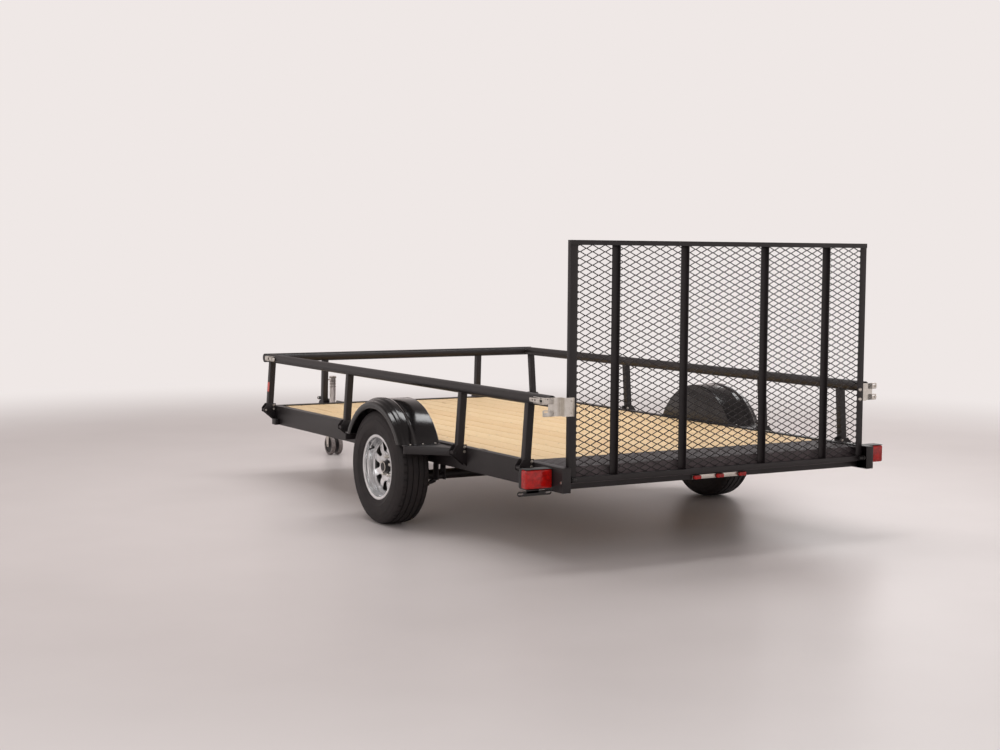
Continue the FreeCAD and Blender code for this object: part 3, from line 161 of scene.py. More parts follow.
# Silver lacquer over a pressed steel wheel: a metallic paint with a glossy skin.
wheel_lacquer = finish("silver_wheel_lacquer", "#d8d9da", "#e6e7e8", 60, 2, (0.2, 0.28), 0.03, Metallic=0.9)
# Painted shade: a dark matt sheet inside the rim, which leaves the wheel's windows dark where the barrel lies
# in shade.
rim_shade_sheet = finish("dusty_primed_steel", "#1a1716", "#292423", 30, 2, (0.7, 0.85), 0.08)
# Black paint on the hub and dust cap, brushed on: a thin satin skin, a little browner than the coat. The rail
# latches' bases wear it as painted shade.
hub_paint = finish("black_hub_paint", "#141313", "#1f1d1d", 30, 2, (0.3, 0.42), 0.05)
# Tyre rubber: a brown-black matt, dusted lighter, with the fine grain of the mould.
tyre_rubber = finish("tyre_rubber", "#171213", "#211a1a", 70, 2, (0.62, 0.78), 0.12, IOR=1.52)
# Nylon caster treads, moulded grey and worn dull and patchy by rolling.
caster_nylon = finish("worn_grey_nylon", "#5d5553", "#8a817e", 14, 2, (0.45, 0.6), 0.1, IOR=1.53)
# Clear red acrylic over a bright reflector: saturated red with a wet surface.
red_acrylic = finish("red_acrylic_lens", "#8f0a07", "#b8110c", 16, 6, (0.08, 0.16), 0.2, IOR=1.49)
# Galvanised screw heads and caps, dulled by weather: a mottled grey metal.
dull_zinc = finish("dull_galvanised_steel", "#6f6a64", "#98928a", 6, 1, (0.4, 0.55), 0.05, Metallic=1.0)
# Red retroreflective tape, faded by the sun: paler than the lamps, under a smooth film.
red_tape = finish("red_reflective_tape", "#c8443b", "#dc5a50", 10, 1.5, (0.25, 0.35), 0.05)


def pine_finish():
    """Treated pine, planed: pale yellow with darker growth lines about 9 mm apart and a few knots."""
    made, tree = bare(bpy.data.materials.new("planed_treated_pine"))
    spot = add(tree, "TexCoord")
    plank = add(tree, "Attribute", attribute_name="plank")
    stray = add(tree, "VectorMath", {0: spot.outputs["Object"], 1: plank.outputs["Vector"]}, operation="ADD")
    along = add(tree, "Mapping", {"Vector": stray.outputs[0], "Scale": (1, 0.05, 1)})
    sway = add(tree, "TexNoise", {"Vector": along.outputs[0], "Scale": 9.0, "Detail": 2.0})
    bent = add(tree, "VectorMath", {0: sway.outputs["Color"], 1: (0.06, 0.0, 0.06)}, operation="MULTIPLY")
    ringed = add(tree, "VectorMath", {0: along.outputs[0], 1: bent.outputs[0]}, operation="ADD")
    rings = add(tree, "TexWave", {"Vector": ringed.outputs[0], "Scale": 35.0, "Distortion": 1.5,
                                  "Detail": 2.0})
    fibre = add(tree, "TexNoise", {"Vector": along.outputs[0], "Scale": 700.0, "Detail": 2.0})
    pale = add(tree, "Mix", {0: rings.outputs["Fac"], 6: linear("#cdaa7c"), 7: linear("#e2cba2")},
               data_type="RGBA")
    streak = add(tree, "MapRange", {"Value": fibre.outputs[0], "From Min": 0.45, "From Max": 0.75,
                                    "To Max": 0.35})
    worn = add(tree, "Mix", {0: streak.outputs[0], 6: pale.outputs[2], 7: linear("#ae8a60")},
               data_type="RGBA")
    cells = add(tree, "Mapping", {"Vector": stray.outputs[0], "Scale": (1, 0.45, 1)})
    knots = add(tree, "TexVoronoi", {"Vector": cells.outputs[0], "Scale": 5.0})
    spotted = add(tree, "MapRange", {"Value": knots.outputs["Distance"], "From Min": 0.05, "From Max": 0.10,
                                     "To Min": 1.0, "To Max": 0.0})
    knotty = add(tree, "Mix", {0: spotted.outputs[0], 6: worn.outputs[2], 7: linear("#8a5a30")},
                 data_type="RGBA")
    shade = add(tree, "Attribute", attribute_name="shade")
    varied = add(tree, "Mix", {0: shade.outputs["Fac"], 6: knotty.outputs[2], 7: linear("#c7a273")},
                 data_type="RGBA")
    bump = add(tree, "Bump", {"Height": fibre.outputs[0], "Distance": 0.15 * MM, "Strength": 1.0})
    surface = add(tree, "BsdfPrincipled", {"Base Color": varied.outputs[2], "Roughness": 0.62, "IOR": 1.5,
                                           "Normal": bump.outputs[0]})
    add(tree, "OutputMaterial", {"Surface": surface.outputs[0]})
    return made


pine = pine_finish()

SLOT_FINISH = {
    "black_powder_coat": powder_coat,
    "grip_plate_steel": scuffed_plate,
    "treated_pine": pine,
    "moulded_plastic": fender_plastic,
    "lamp_plastic": matt_plastic,
    "red_lens": red_acrylic,
    "zinc_plate": zinc_plate,
    "jack_wheel_nylon": caster_nylon,
    "tyre_rubber": tyre_rubber,
    "wheel_silver": wheel_lacquer,
    "hub_steel": hub_paint,
}


# ---------------------------------------------------------------- shaping
def round_edges(bm, edges, width, steps=2):
    """Edges rounded off to a width."""
    bmesh.ops.bevel(bm, geom=edges, offset=width, offset_type="OFFSET", segments=steps, profile=0.5,
                    affect="EDGES", clamp_overlap=True, material=-1)


def edges_of(verts):
    """The edges that meet at any of these points."""
    return list(dict.fromkeys(edge for vert in verts for edge in vert.link_edges))


def everything(bm):
    """All of a shape's points, edges and faces."""
    return bm.verts[:] + bm.edges[:] + bm.faces[:]


def only(kind, items):
    """The items of one kind, such as bmesh.types.BMVert."""
    return [item for item in items if isinstance(item, kind)]


def in_mm(points):
    """Points given in millimetres, as metres."""
    return [(x * MM, y * MM) for x, y in points]


def mirrored(half):
    """A closed profile that is the same on both sides of height zero, from its points above it."""
    below = [(radius, -height) for radius, height in half]
    above = [(radius, height) for radius, height in reversed(half) if height]
    return below + above + below[:1]


def block(bm, low, high, soft=0.0):
    """A block between two corners, its edges rounded."""
    low, high = Vector(low), Vector(high)
    verts = bmesh.ops.create_cube(bm, size=1.0)["verts"]
    bmesh.ops.scale(bm, vec=high - low, verts=verts)
    bmesh.ops.translate(bm, vec=(low + high) / 2, verts=verts)
    if soft:
        round_edges(bm, edges_of(verts), soft)


def aimed(start, towards):
    """A placement whose origin is at start and whose Z runs towards a direction."""
    turn_to = Vector(towards).to_track_quat("Z", "Y").to_matrix().to_4x4()
    return Matrix.Translation(Vector(start)) @ turn_to


def facing_rear(at):
    """A placement at a point, with its X to the trailer's right, its Y up and its Z to the rear."""
    return Matrix.Translation(at) @ Matrix.Rotation(math.pi / 2, 4, "X")


def bar(bm, start, end, radius, sides=24, tip=None, soft=0.0):
    """A round bar from start to end, tapering to tip, its end edges rounded."""
    start, end = Vector(start), Vector(end)
    made = bmesh.ops.create_cone(bm, cap_ends=True, segments=sides, radius1=radius,
                                 radius2=radius if tip is None else tip, depth=(end - start).length,
                                 matrix=aimed((start + end) / 2, end - start))
    if soft:
        rims = [edge for edge in edges_of(made["verts"])
                if edge.is_manifold and edge.calc_face_angle() > math.radians(50)]
        round_edges(bm, rims, soft)


def turned(bm, profile, place, steps=48):
    """A turned shape: (radius, height) points spun about the placement's Z."""
    verts = [bm.verts.new(place @ Vector((radius, 0, height))) for radius, height in profile]
    edges = [bm.edges.new(pair) for pair in zip(verts, verts[1:])]
    bmesh.ops.spin(bm, geom=verts + edges, cent=place.translation, axis=place.to_3x3() @ Z, dvec=(0, 0, 0),
                   angle=math.tau, steps=steps, use_merge=True)
    bmesh.ops.remove_doubles(bm, verts=bm.verts, dist=0.01 * MM)


def prism(bm, outline, place, depth, soft=0.0):
    """A flat outline on the placement's XY plane, pushed depth along its Z."""
    face = bm.faces.new([bm.verts.new(place @ Vector((x, y, 0))) for x, y in outline])
    tips = only(bmesh.types.BMVert, bmesh.ops.extrude_face_region(bm, geom=[face])["geom"])
    bmesh.ops.translate(bm, verts=tips, vec=place.to_3x3() @ Vector((0, 0, depth)))
    if soft:
        edges = [edge for edge in edges_of(tips + list(face.verts))
                 if edge.calc_face_angle(0) > math.radians(40)]
        round_edges(bm, edges, soft)


def rounded(points, radius, steps=4):
    """An outline's points with its corners rounded off."""
    bm = bmesh.new()
    face = bm.faces.new([bm.verts.new((x, y, 0)) for x, y in points])
    bmesh.ops.bevel(bm, geom=list(face.verts), offset=radius, offset_type="OFFSET", segments=steps,
                    profile=0.5, affect="VERTICES", clamp_overlap=True, material=-1)
    bm.faces.ensure_lookup_table()
    outline = [(vert.co.x, vert.co.y) for vert in bm.faces[0].verts]
    bm.free()
    return outline


def oblong(wide, tall, at=(0, 0), radius=None):
    """A rounded rectangle's outline about a centre."""
    x, y = at
    corners = [(x - wide / 2, y - tall / 2), (x + wide / 2, y - tall / 2),
               (x + wide / 2, y + tall / 2), (x - wide / 2, y + tall / 2)]
    return rounded(corners, radius or min(wide, tall) * 0.49)


def cut_plate(bm, outlines, place, thick, soft=0.4 * MM):
    """Sheet cut to outlines, the first its edge and the rest its holes, on the placement's XY plane."""
    curve = bpy.data.curves.new("outline", "CURVE")
    curve.dimensions = "2D"
    curve.fill_mode = "BOTH"
    curve.extrude = thick / 2 - soft
    curve.bevel_depth = soft
    curve.bevel_resolution = 1
    curve.offset = -soft
    for outline in outlines:
        spline = curve.splines.new("POLY")
        spline.points.add(len(outline) - 1)
        for point, (x, y) in zip(spline.points, outline):
            point.co = (x, y, 0, 1)
        spline.use_cyclic_u = True
    holder = bpy.data.objects.new("outline", curve)
    mesh = bpy.data.meshes.new_from_object(holder)
    mesh.transform(place)
    bm.from_mesh(mesh)
    bpy.data.objects.remove(holder)
    bpy.data.curves.remove(curve)
    bpy.data.meshes.remove(mesh)
    bmesh.ops.remove_doubles(bm, verts=bm.verts, dist=0.01 * MM)


def both_sides(bm):
    """Everything so far again on the trailer's other side."""
    twin = bmesh.ops.duplicate(bm, geom=everything(bm))["geom"]
    bmesh.ops.scale(bm, vec=(-1, 1, 1), verts=only(bmesh.types.BMVert, twin))
    bmesh.ops.reverse_faces(bm, faces=only(bmesh.types.BMFace, twin))


def other_side(bm):
    """Everything so far moved to the trailer's other side."""
    bmesh.ops.scale(bm, vec=(-1, 1, 1), verts=bm.verts)
    bmesh.ops.reverse_faces(bm, faces=bm.faces)


def put(name, data):
    """A named object that holds the data, put into the scene."""
    made = bpy.data.objects.new(name, data)
    bpy.context.scene.collection.objects.link(made)
    return made


def bolt(bm, at, towards, size, shank=0.0, sides=6):
    """A hexagon head on its washer, or with more sides a round head, facing towards."""
    at, towards = Vector(at), Vector(towards).normalized()
    washer = at + towards * size * 0.18
    top = at + towards * size * 0.9
    bar(bm, at, washer, size * 1.25, 16)
    bar(bm, washer, top, size, sides, soft=size * 0.12)
    if shank:
        bar(bm, top, top + towards * shank, size * 0.5, 10, soft=size * 0.1)


def piece(name, bm, body, slot, look=None, stands_for=(), sharp=35, solid=True):
    """Hand a finished shape to the trailer: its finish, its body and the CAD nodes it stands for."""
    if solid:
        bmesh.ops.recalc_face_normals(bm, faces=bm.faces)
    mesh = bpy.data.meshes.new(name)
    bm.to_mesh(mesh)
    bm.free()
    mesh.materials.append(look or SLOT_FINISH[slot])
    mesh.shade_smooth()
    mesh.set_sharp_from_angle(angle=math.radians(sharp))
    made = put(name, mesh)
    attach(made, body)
    if stands_for:
        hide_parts(*stands_for)


def solids(node):
    """The low and high corners of each separate solid in a node, from the rear forward."""
    bm = bmesh.new()
    bm.from_mesh(NODES[node].data)
    bmesh.ops.remove_doubles(bm, verts=bm.verts, dist=0.01 * MM)
    left = set(bm.verts)
    boxes = []
    while left:
        reached = [left.pop()]
        for vert in reached:
            near = {edge.other_vert(vert) for edge in vert.link_edges} & left
            left -= near
            reached.extend(near)
        spots = [vert.co for vert in reached]
        boxes.append((Vector([min(spot[axis] for spot in spots) for axis in range(3)]),
                      Vector([max(spot[axis] for spot in spots) for axis in range(3)])))
    bm.free()
    return sorted(boxes, key=lambda box: (round(box[0].y, 3), box[0].x))


def eased(node, width):
    """A CAD node's shape with its long edges rounded, as welded and coated steel has them."""
    shortest = 8 * MM
    bm = bmesh.new()
    bm.from_mesh(NODES[node].data)
    bmesh.ops.remove_doubles(bm, verts=bm.verts, dist=0.01 * MM)
    bmesh.ops.dissolve_limit(bm, angle_limit=math.radians(1), verts=bm.verts, edges=bm.edges)
    edges = [edge for edge in bm.edges if edge.is_manifold and edge.calc_length() > shortest
             and edge.calc_face_angle() > math.radians(40)]
    round_edges(bm, edges, width)
    return bm


def coated(node, width, look=None, slot="black_powder_coat"):
    """A CAD node's own shape with its edges rounded, finished and standing for that node."""
    body = NODES[node]["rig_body"]
    piece(node + "_finished", eased(node, width), body, slot, look, [node], solid=False)


# ---------------------------------------------------------------- camera, light and floor
BACKDROP = linear("#efe8e6")


def camera():
    """A camera behind the trailer's left corner, level with the gate's top and looking a little down."""
    lens = bpy.data.cameras.new("camera")
    lens.sensor_width = 36.0
    lens.lens = 57.74
    lens.clip_end = 200.0
    holder = put("camera", lens)
    yaw, pitch, roll = -0.5327, -0.0753, 0.00753
    holder.matrix_world = (Matrix.Translation((-5.349, -9.262, 1.571)) @ Matrix.Rotation(yaw, 4, "Z")
                           @ Matrix.Rotation(math.pi / 2 + pitch, 4, "X") @ Matrix.Rotation(roll, 4, "Z"))
    bpy.context.scene.camera = holder
    bpy.context.scene.view_settings.view_transform = "Standard"


def lamps():
    """Soft area lamps: a long one overhead and a broad one on each side."""
    table = {
        "ceiling": ((0, -0.5, 5.6), (0, 0, 0), 7.0, 1.6, 230.0),
        "camera_side": ((-7.5, -8.0, 4.0), (0, 0, 0.7), 3.5, 2.5, 150.0),
        "far_side": ((7.0, 3.0, 3.5), (0, 0, 0.7), 3.5, 2.5, 70.0),
    }
    for name, (place, target, wide, tall, watts) in table.items():
        lamp = bpy.data.lights.new(name, "AREA")
        lamp.shape = "RECTANGLE"
        lamp.size = wide
        lamp.size_y = tall
        lamp.energy = watts
        hung = put(name, lamp)
        facing = (Vector(target) - Vector(place)).to_track_quat("-Z", "Y").to_matrix().to_4x4()
        hung.matrix_world = Matrix.Translation(Vector(place)) @ facing


def room():
    """A plain pale room: the backdrop to look at, and dimmer towards its ceiling where it is mirrored."""
    bpy.context.scene.world, tree = bare(bpy.data.worlds.new("studio"))
    rays = add(tree, "LightPath")
    seen = add(tree, "Math", {0: rays.outputs["Is Camera Ray"], 1: rays.outputs["Is Transmission Ray"]},
               operation="MAXIMUM")
    glow = add(tree, "Background", {"Color": linear("#f4efee"), "Strength": 0.72})
    walls = add(tree, "Background", {"Color": BACKDROP, "Strength": 1.0})
    lit = add(tree, "MixShader", {0: seen.outputs[0], 1: glow.outputs[0], 2: walls.outputs[0]})
    direction = add(tree, "SeparateXYZ", {0: add(tree, "TexCoord").outputs["Generated"]})
    height = add(tree, "MapRange", {"Value": direction.outputs["Z"], "From Min": 0.2, "From Max": 0.75,
                                    "To Min": 1.0, "To Max": 0.3})
    gloss = add(tree, "Background", {"Color": linear("#efe2df"), "Strength": height.outputs[0]})
    both = add(tree, "MixShader", {0: rays.outputs["Is Glossy Ray"], 1: lit.outputs[0], 2: gloss.outputs[0]})
    add(tree, "OutputWorld", {"Surface": both.outputs[0]})


def concrete_finish():
    """Pale sealed concrete: faint clouds under a satin seal, fading into the backdrop far out."""
    made, tree = bare(bpy.data.materials.new("pale_sealed_concrete"))
    spot = add(tree, "TexCoord")
    away = add(tree, "VectorMath", {0: spot.outputs["Object"]}, operation="LENGTH")
    fade = add(tree, "MapRange", {"Value": away.outputs["Value"], "From Min": 4.2, "From Max": 9.0},
               interpolation_type="SMOOTHSTEP")
    cloud = add(tree, "TexNoise", {"Vector": spot.outputs["Object"], "Scale": 1.4, "Detail": 5.0})
    tone = add(tree, "Mix", {0: cloud.outputs[0], 6: linear("#bdb5b3"), 7: linear("#c8c0be")},
               data_type="RGBA")
    sealed = add(tree, "BsdfPrincipled", {"Base Color": tone.outputs[2], "Roughness": 0.38})
    lost = add(tree, "Emission", {"Color": BACKDROP, "Strength": 1.0})
    both = add(tree, "MixShader", {0: fade.outputs[0], 1: sealed.outputs[0], 2: lost.outputs[0]})
    add(tree, "OutputMaterial", {"Surface": both.outputs[0]})
    return made


def floor():
    """A wide round floor."""
    bm = bmesh.new()
    bmesh.ops.create_circle(bm, cap_ends=True, segments=96, radius=60.0)
    mesh = bpy.data.meshes.new("floor")
    bm.to_mesh(mesh)
    bm.free()
    mesh.materials.append(concrete_finish())
    put("floor", mesh)


# ---------------------------------------------------------------- frame steel
# How far each coated steel node's edges are rounded, in mm.
ROUNDED = {
    "side_beams": 2.5, "front_beam": 2.5, "rear_beam": 1.5, "cross_members": 2.0, "tongue": 5.0,
    "coupler": 1.5, "fender_brackets": 1.2, "leaf_springs": 0.8, "spring_hangers": 1.0, "axle": 1.5,
    "axle_ends": 1.5, "rail_brackets": 1.0, "lamp_brackets": 1.0, "left_rail_posts": 3.5,
    "right_rail_posts": 3.5, "front_rail_posts": 3.5, "gate_bars": 1.5, "gate_posts": 1.5,
    "gate_uprights": 1.5, "gate_hinge_tabs": 0.8,
}


def frame_steel():
    """Every powder-coated steel node whose own shape is right."""
    for node, width in ROUNDED.items():
        coated(node, width * MM)


def rail_tube(name, start, end, body, node):
    """A round tube with a dark moulded plug in each end."""
    start, end = Vector(start), Vector(end)
    along = (end - start).normalized()
    long = (end - start).length
    lip, wall, ease = 3 * MM, 2.5 * MM, 0.6 * MM
    bore = RAIL_R - wall
    bm = bmesh.new()
    profile = [(bore, lip), (RAIL_R - ease, lip), (RAIL_R, lip + ease), (RAIL_R, long - lip - ease),
               (RAIL_R - ease, long - lip), (bore, long - lip), (bore, lip)]
    turned(bm, profile, aimed(start, along), 56)
    piece(name, bm, body, "black_powder_coat", stands_for=[node])
    bm = bmesh.new()
    deep = 12 * MM
    crown = deep + 3 * MM
    plug = [(0, 0), (bore, 0), (bore, deep), (RAIL_R - 0.5 * MM, deep), (RAIL_R - 1 * MM, deep + 1.6 * MM),
            (RAIL_R - 6 * MM, crown), (0, crown)]
    for at, way in ((start, -along), (end, along)):
        turned(bm, plug, aimed(at - way * (lip + deep), way), 40)
    piece(name + "_plugs", bm, body, "black_powder_coat", matt_plastic)


def rails():
    """The two side rails and the front rail."""
    for side, sign in SIDES.items():
        rail_tube(f"{side}_rail", (sign * RAIL_X, RAIL_LOW.y, RAIL_Z), (sign * RAIL_X, RAIL_HIGH.y, RAIL_Z),
                  f"{side}_rail", f"{side}_rail_tube")
    ahead = (FRONT_RAIL_LOW.y + FRONT_RAIL_HIGH.y) / 2
    rail_tube("front_rail", (FRONT_RAIL_LOW.x, ahead, RAIL_Z), (FRONT_RAIL_HIGH.x, ahead, RAIL_Z),
              "front_rail", "front_rail_tube")


# ---------------------------------------------------------------- deck
def deck_boards(planks):
    """Planks with eased edges, each with its own tint and its own stretch of grain."""
    bm = bmesh.new()
    shade = bm.verts.layers.float.new("shade")
    grain = bm.verts.layers.float_vector.new("plank")
    gap, easing = 2 * MM, 3 * MM
    for low, high in planks:
        before = set(bm.verts)
        block(bm, low + X * gap, high - X * gap, easing)
        tint = dice.uniform(0.0, 0.45)
        shift = Vector((dice.uniform(-3, 3), dice.uniform(-30, 30), dice.uniform(-3, 3)))
        for vert in set(bm.verts) - before:
            vert[shade] = tint
            vert[grain] = shift
    piece("deck_boards", bm, TRAILER, "treated_pine", stands_for=["deck_planks"])


def deck_screws(planks):
    """A pair of screws in every plank over each cross-member, driven a little off line."""
    bm = bmesh.new()
    inset, from_end = 28 * MM, 14 * MM
    sunk, proud, head, crown = 0.4 * MM, 0.5 * MM, 4.8 * MM, 4.2 * MM
    for low, high in solids("cross_members"):
        row = max((low.y + high.y) / 2, DECK_LOW.y + from_end)
        for plank_low, plank_high in planks:
            for x in (plank_low.x + inset, plank_high.x - inset):
                spot = Vector((x + dice.uniform(-4, 4) * MM, row + dice.uniform(-5, 5) * MM, DECK_HIGH.z))
                bar(bm, spot - Z * sunk, spot + Z * proud, head, 10, tip=crown)
    piece("deck_screws", bm, TRAILER, "zinc_plate", dull_zinc)


def deck():
    """The plank deck and its screws, from left to right."""
    planks = sorted(solids("deck_planks"), key=lambda box: box[0].x)
    deck_boards(planks)
    deck_screws(planks)


def grip_plate():
    """The tread plate at the rear, with raised lens-shaped lugs set at right angles to each other."""
    coated("grip_plate", 1.0 * MM, scuffed_plate, "grip_plate_steel")
    pitch = 36 * MM
    lug = Matrix.Diagonal((15 * MM, 4.5 * MM, 1.8 * MM, 1))
    across = int((PLATE_HIGH.x - PLATE_LOW.x) / pitch)
    deep = int((PLATE_HIGH.y - PLATE_LOW.y) / pitch)
    bm = bmesh.new()
    for column in range(across):
        for row in range(deep):
            lean = math.radians(45 if (column + row) % 2 else -45)
            x, y = PLATE_LOW.x + (column + 0.75) * pitch, PLATE_LOW.y + (row + 0.6) * pitch
            shape = Matrix.Translation((x, y, PLATE_HIGH.z)) @ Matrix.Rotation(lean, 4, "Z") @ lug
            bmesh.ops.create_icosphere(bm, subdivisions=1, radius=1.0, matrix=shape)
    piece("grip_plate_lugs", bm, TRAILER, "grip_plate_steel", scuffed_plate, sharp=60)


def grip_plate_lip():
    """The plate's rear edge, bent down over the rear beam's web."""
    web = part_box("rear_beam")[0]
    thick, short = 1.2 * MM, 28 * MM
    bm = bmesh.new()
    block(bm, (PLATE_LOW.x, web.y - thick, web.z + short), (PLATE_HIGH.x, web.y, PLATE_HIGH.z), 0.5 * MM)
    # Its lighter grey is painted light on the rear beam's web.
    piece("grip_plate_lip", bm, TRAILER, "grip_plate_steel", plate_painted_light)


# ---------------------------------------------------------------- ramp gate
CATCH = 3 * MM  # the catch plates' thickness


def expanded_mesh():
    """Raised expanded steel: one sheet slit and stretched to diamonds, its strands tilted."""
    wide, tall = 76.2 * MM, 33.8 * MM
    strand, knuckle, tilt, sheet = 1.5 * MM, 4.0 * MM, 0.8 * MM, 1.4 * MM
    squares = 64
    bm = bmesh.new()
    bmesh.ops.create_grid(bm, x_segments=squares, y_segments=squares, size=squares / 2 * math.sqrt(0.5))
    stand = (facing_rear((MESH_LOW + MESH_HIGH) / 2) @ Matrix.Diagonal((wide, tall, 1, 1))
             @ Matrix.Rotation(math.pi / 4, 4, "Z"))
    bmesh.ops.transform(bm, matrix=stand, verts=bm.verts)
    sheet_edges = ((MESH_LOW, -X), (MESH_HIGH, X), (MESH_LOW, -Z), (MESH_HIGH, Z))
    for corner, way in sheet_edges:
        beyond = [face for face in bm.faces if (face.calc_center_median() - corner).dot(way) > wide]
        bmesh.ops.delete(bm, geom=beyond, context="FACES")
    made = bmesh.ops.inset_individual(bm, faces=bm.faces[:], thickness=strand, use_even_offset=True)
    strands = set(made["faces"])
    holes = [face for face in bm.faces if face not in strands]
    for hole in holes:
        centre = hole.calc_center_median()
        for vert in hole.verts:
            off = vert.co - centre
            if abs(off.x) > abs(off.z):
                vert.co.x -= math.copysign(knuckle, off.x)
            else:
                vert.co.y += math.copysign(tilt, off.z)
    bmesh.ops.delete(bm, geom=holes, context="FACES")
    for corner, way in sheet_edges:
        bmesh.ops.bisect_plane(bm, geom=everything(bm), plane_co=corner, plane_no=way, clear_outer=True)
    bmesh.ops.recalc_face_normals(bm, faces=bm.faces)
    bmesh.ops.solidify(bm, geom=bm.faces[:], thickness=sheet)
    piece("gate_expanded_mesh", bm, "ramp_gate", "black_powder_coat", stands_for=["gate_mesh"])


def catch_plate(bm, start, bend):
    """A catch for a rail latch: a flange from start, a step forward and a wing with two slotted ears."""
    low, high = solids("gate_latch_plates")[-1]
    tall, ear = high.z - low.z, 33 * MM
    step = high.x - 105 * MM
    edge = RAIL_X + 34 * MM
    wing = high.y
    outline = [(start, bend - CATCH), (step, bend - CATCH), (step, wing - CATCH), (edge, wing - CATCH),
               (edge, wing), (step - CATCH, wing), (step - CATCH, bend), (start, bend)]
    prism(bm, rounded(outline, 2.8 * MM), Matrix.Translation((0, 0, low.z)), tall, 0.7 * MM)
    reach = high.x - RAIL_X
    slotted = [oblong(reach, ear, radius=7 * MM), oblong(22 * MM, 6 * MM, (12 * MM, 8 * MM))]
    stud, tip = high.x - 8 * MM, wing - CATCH - 5 * MM
    for middle in (low.z + ear / 2, low.z + tall - ear / 2):
        cut_plate(bm, slotted, facing_rear((RAIL_X + reach / 2, wing - CATCH / 2, middle)), CATCH)
        bar(bm, (stud, wing - CATCH, middle), (stud, tip, middle), 6 * MM, 16, soft=1 * MM)


def gate_catches():
    """Zinc catches: the left one laid on its gate post, the right one held from behind its post."""
    low, high = solids("gate_latch_plates")[-1]
    post_low, post_high = solids("gate_posts")[-1]
    bend = post_low.y
    bm = bmesh.new()
    catch_plate(bm, low.x, bend)
    for up in (16.5, 78.5):
        bolt(bm, (low.x + 12 * MM, bend - CATCH, low.z + up * MM), -Y, 4.5 * MM, sides=16)
    block(bm, (low.x, bend - 8 * MM, low.z), (low.x + 2.5 * MM, bend - CATCH, high.z), 1 * MM)
    other_side(bm)
    catch_plate(bm, post_high.x, bend + 7 * MM)
    piece("gate_catches", bm, "ramp_gate", "zinc_plate", stands_for=["gate_latch_plates"])


def gate_catch_bolts():
    """Two domed nuts on the right gate post, where its catch is bolted through."""
    catch_low = solids("gate_latch_plates")[-1][0]
    post_low = solids("gate_posts")[-1][0]
    dome = in_mm([(0, 0), (11.5, 0), (11.5, 1), (11, 4), (8.4, 8), (4.6, 10), (0, 10.6)])
    bm = bmesh.new()
    for up in (11, 65):
        turned(bm, dome, aimed((post_low.x + 18 * MM, post_low.y, catch_low.z + up * MM), -Y), 24)
    piece("gate_catch_bolts", bm, "ramp_gate", "zinc_plate")


# ---------------------------------------------------------------- wheels and fenders
WINDOWS = 8
FENDER_R = 405  # mm from the axle's middle to the fender's top


def tyre(name, place, body, node):
    """A ribbed radial tyre: rounded shoulders, mould rings on the side wall and notched outer ribs."""
    half = [(172, 70), (179, 76), (185, 79), (192, 82), (196, 86), (200, 89.5), (203, 91.6), (206, 92.4),
            (209, 92.6), (212, 94.6), (220, 98.6), (226, 100.6), (227, 101.9), (230, 102.2), (231, 101.4),
            (240, 102.4), (252, 102.5), (262, 102.1), (272, 101.1), (273, 102.1), (276, 102.0),
            (277, 100.6), (288, 98.4), (298, 95.2), (299, 96.2), (302, 95.6), (303, 94.4), (311, 91.4),
            (318, 87.2), (323, 82), (326, 76), (328, 68), (329, 57), (322, 55.6), (322, 49.4), (329.6, 48),
            (330.4, 22), (323, 20.8), (323, 15.2), (330.8, 14), (331, 0)]
    steps, notch_every = 144, 3
    bm = bmesh.new()
    turned(bm, in_mm(mirrored(half)), place, steps)
    bmesh.ops.recalc_face_normals(bm, faces=bm.faces)
    back = place.inverted()
    notched = []
    for face in bm.faces:
        spot = back @ face.calc_center_median()
        reach = math.hypot(spot.x, spot.y)
        step = round(math.atan2(spot.y, spot.x) / math.tau * steps - 0.5)
        if reach > 326 * MM and 57 * MM < abs(spot.z) < 78 * MM and step % notch_every == 0:
            notched.append(face)
    bmesh.ops.inset_individual(bm, faces=notched, thickness=2.4 * MM, depth=-3.5 * MM)
    piece(name, bm, body, "tyre_rubber", stands_for=[node], solid=False)


def rim(name, place, body, node):
    """A rolled wheel rim with curled lips, bead seats and a drop centre, and a dark lining inside it as
    painted shade.
    """
    rolled = [(173, 78), (174, 82.5), (178, 84), (186, 85), (189.6, 84.6), (191, 83), (190.2, 81.2),
              (187, 80.6), (179, 80.3), (178, 54), (164, 40), (164, -40), (178, -54), (179, -80.3),
              (187, -80.6), (190.2, -81.2), (191, -83), (189.6, -84.6), (186, -85), (178, -84), (173, -82),
              (172.6, -57), (159.4, -42), (159.4, 24), (162, 38), (166, 52), (168, 60), (171.5, 64),
              (172, 75), (173, 78)]
    bm = bmesh.new()
    turned(bm, in_mm(rolled), place, 96)
    piece(name, bm, body, "wheel_silver", stands_for=[node], sharp=25)
    # A dark sheet just inside the barrel: painted shade that darkens the wheel's windows.
    lining = [(158.8, 6), (158.8, -42), (172, -57.4), (172.4, -80), (171.4, -80), (171, -57.8),
              (158, -42.4), (158, 6), (158.8, 6)]
    bm = bmesh.new()
    turned(bm, in_mm(lining), place, 96)
    piece(name + "_dusty_inside", bm, body, "wheel_silver", rim_shade_sheet)


def dished(bm, curve):
    """Lift a flat pressing to (distance from its middle, height) points in mm, eased between them."""
    for vert in bm.verts:
        reach = math.hypot(vert.co.x, vert.co.y) / MM
        for (near, low), (far, high) in zip(curve, curve[1:]):
            if near <= reach <= far:
                share = (reach - near) / (far - near)
                share = share * share * (3 - 2 * share)
                vert.co.z = (low + (high - low) * share) * MM


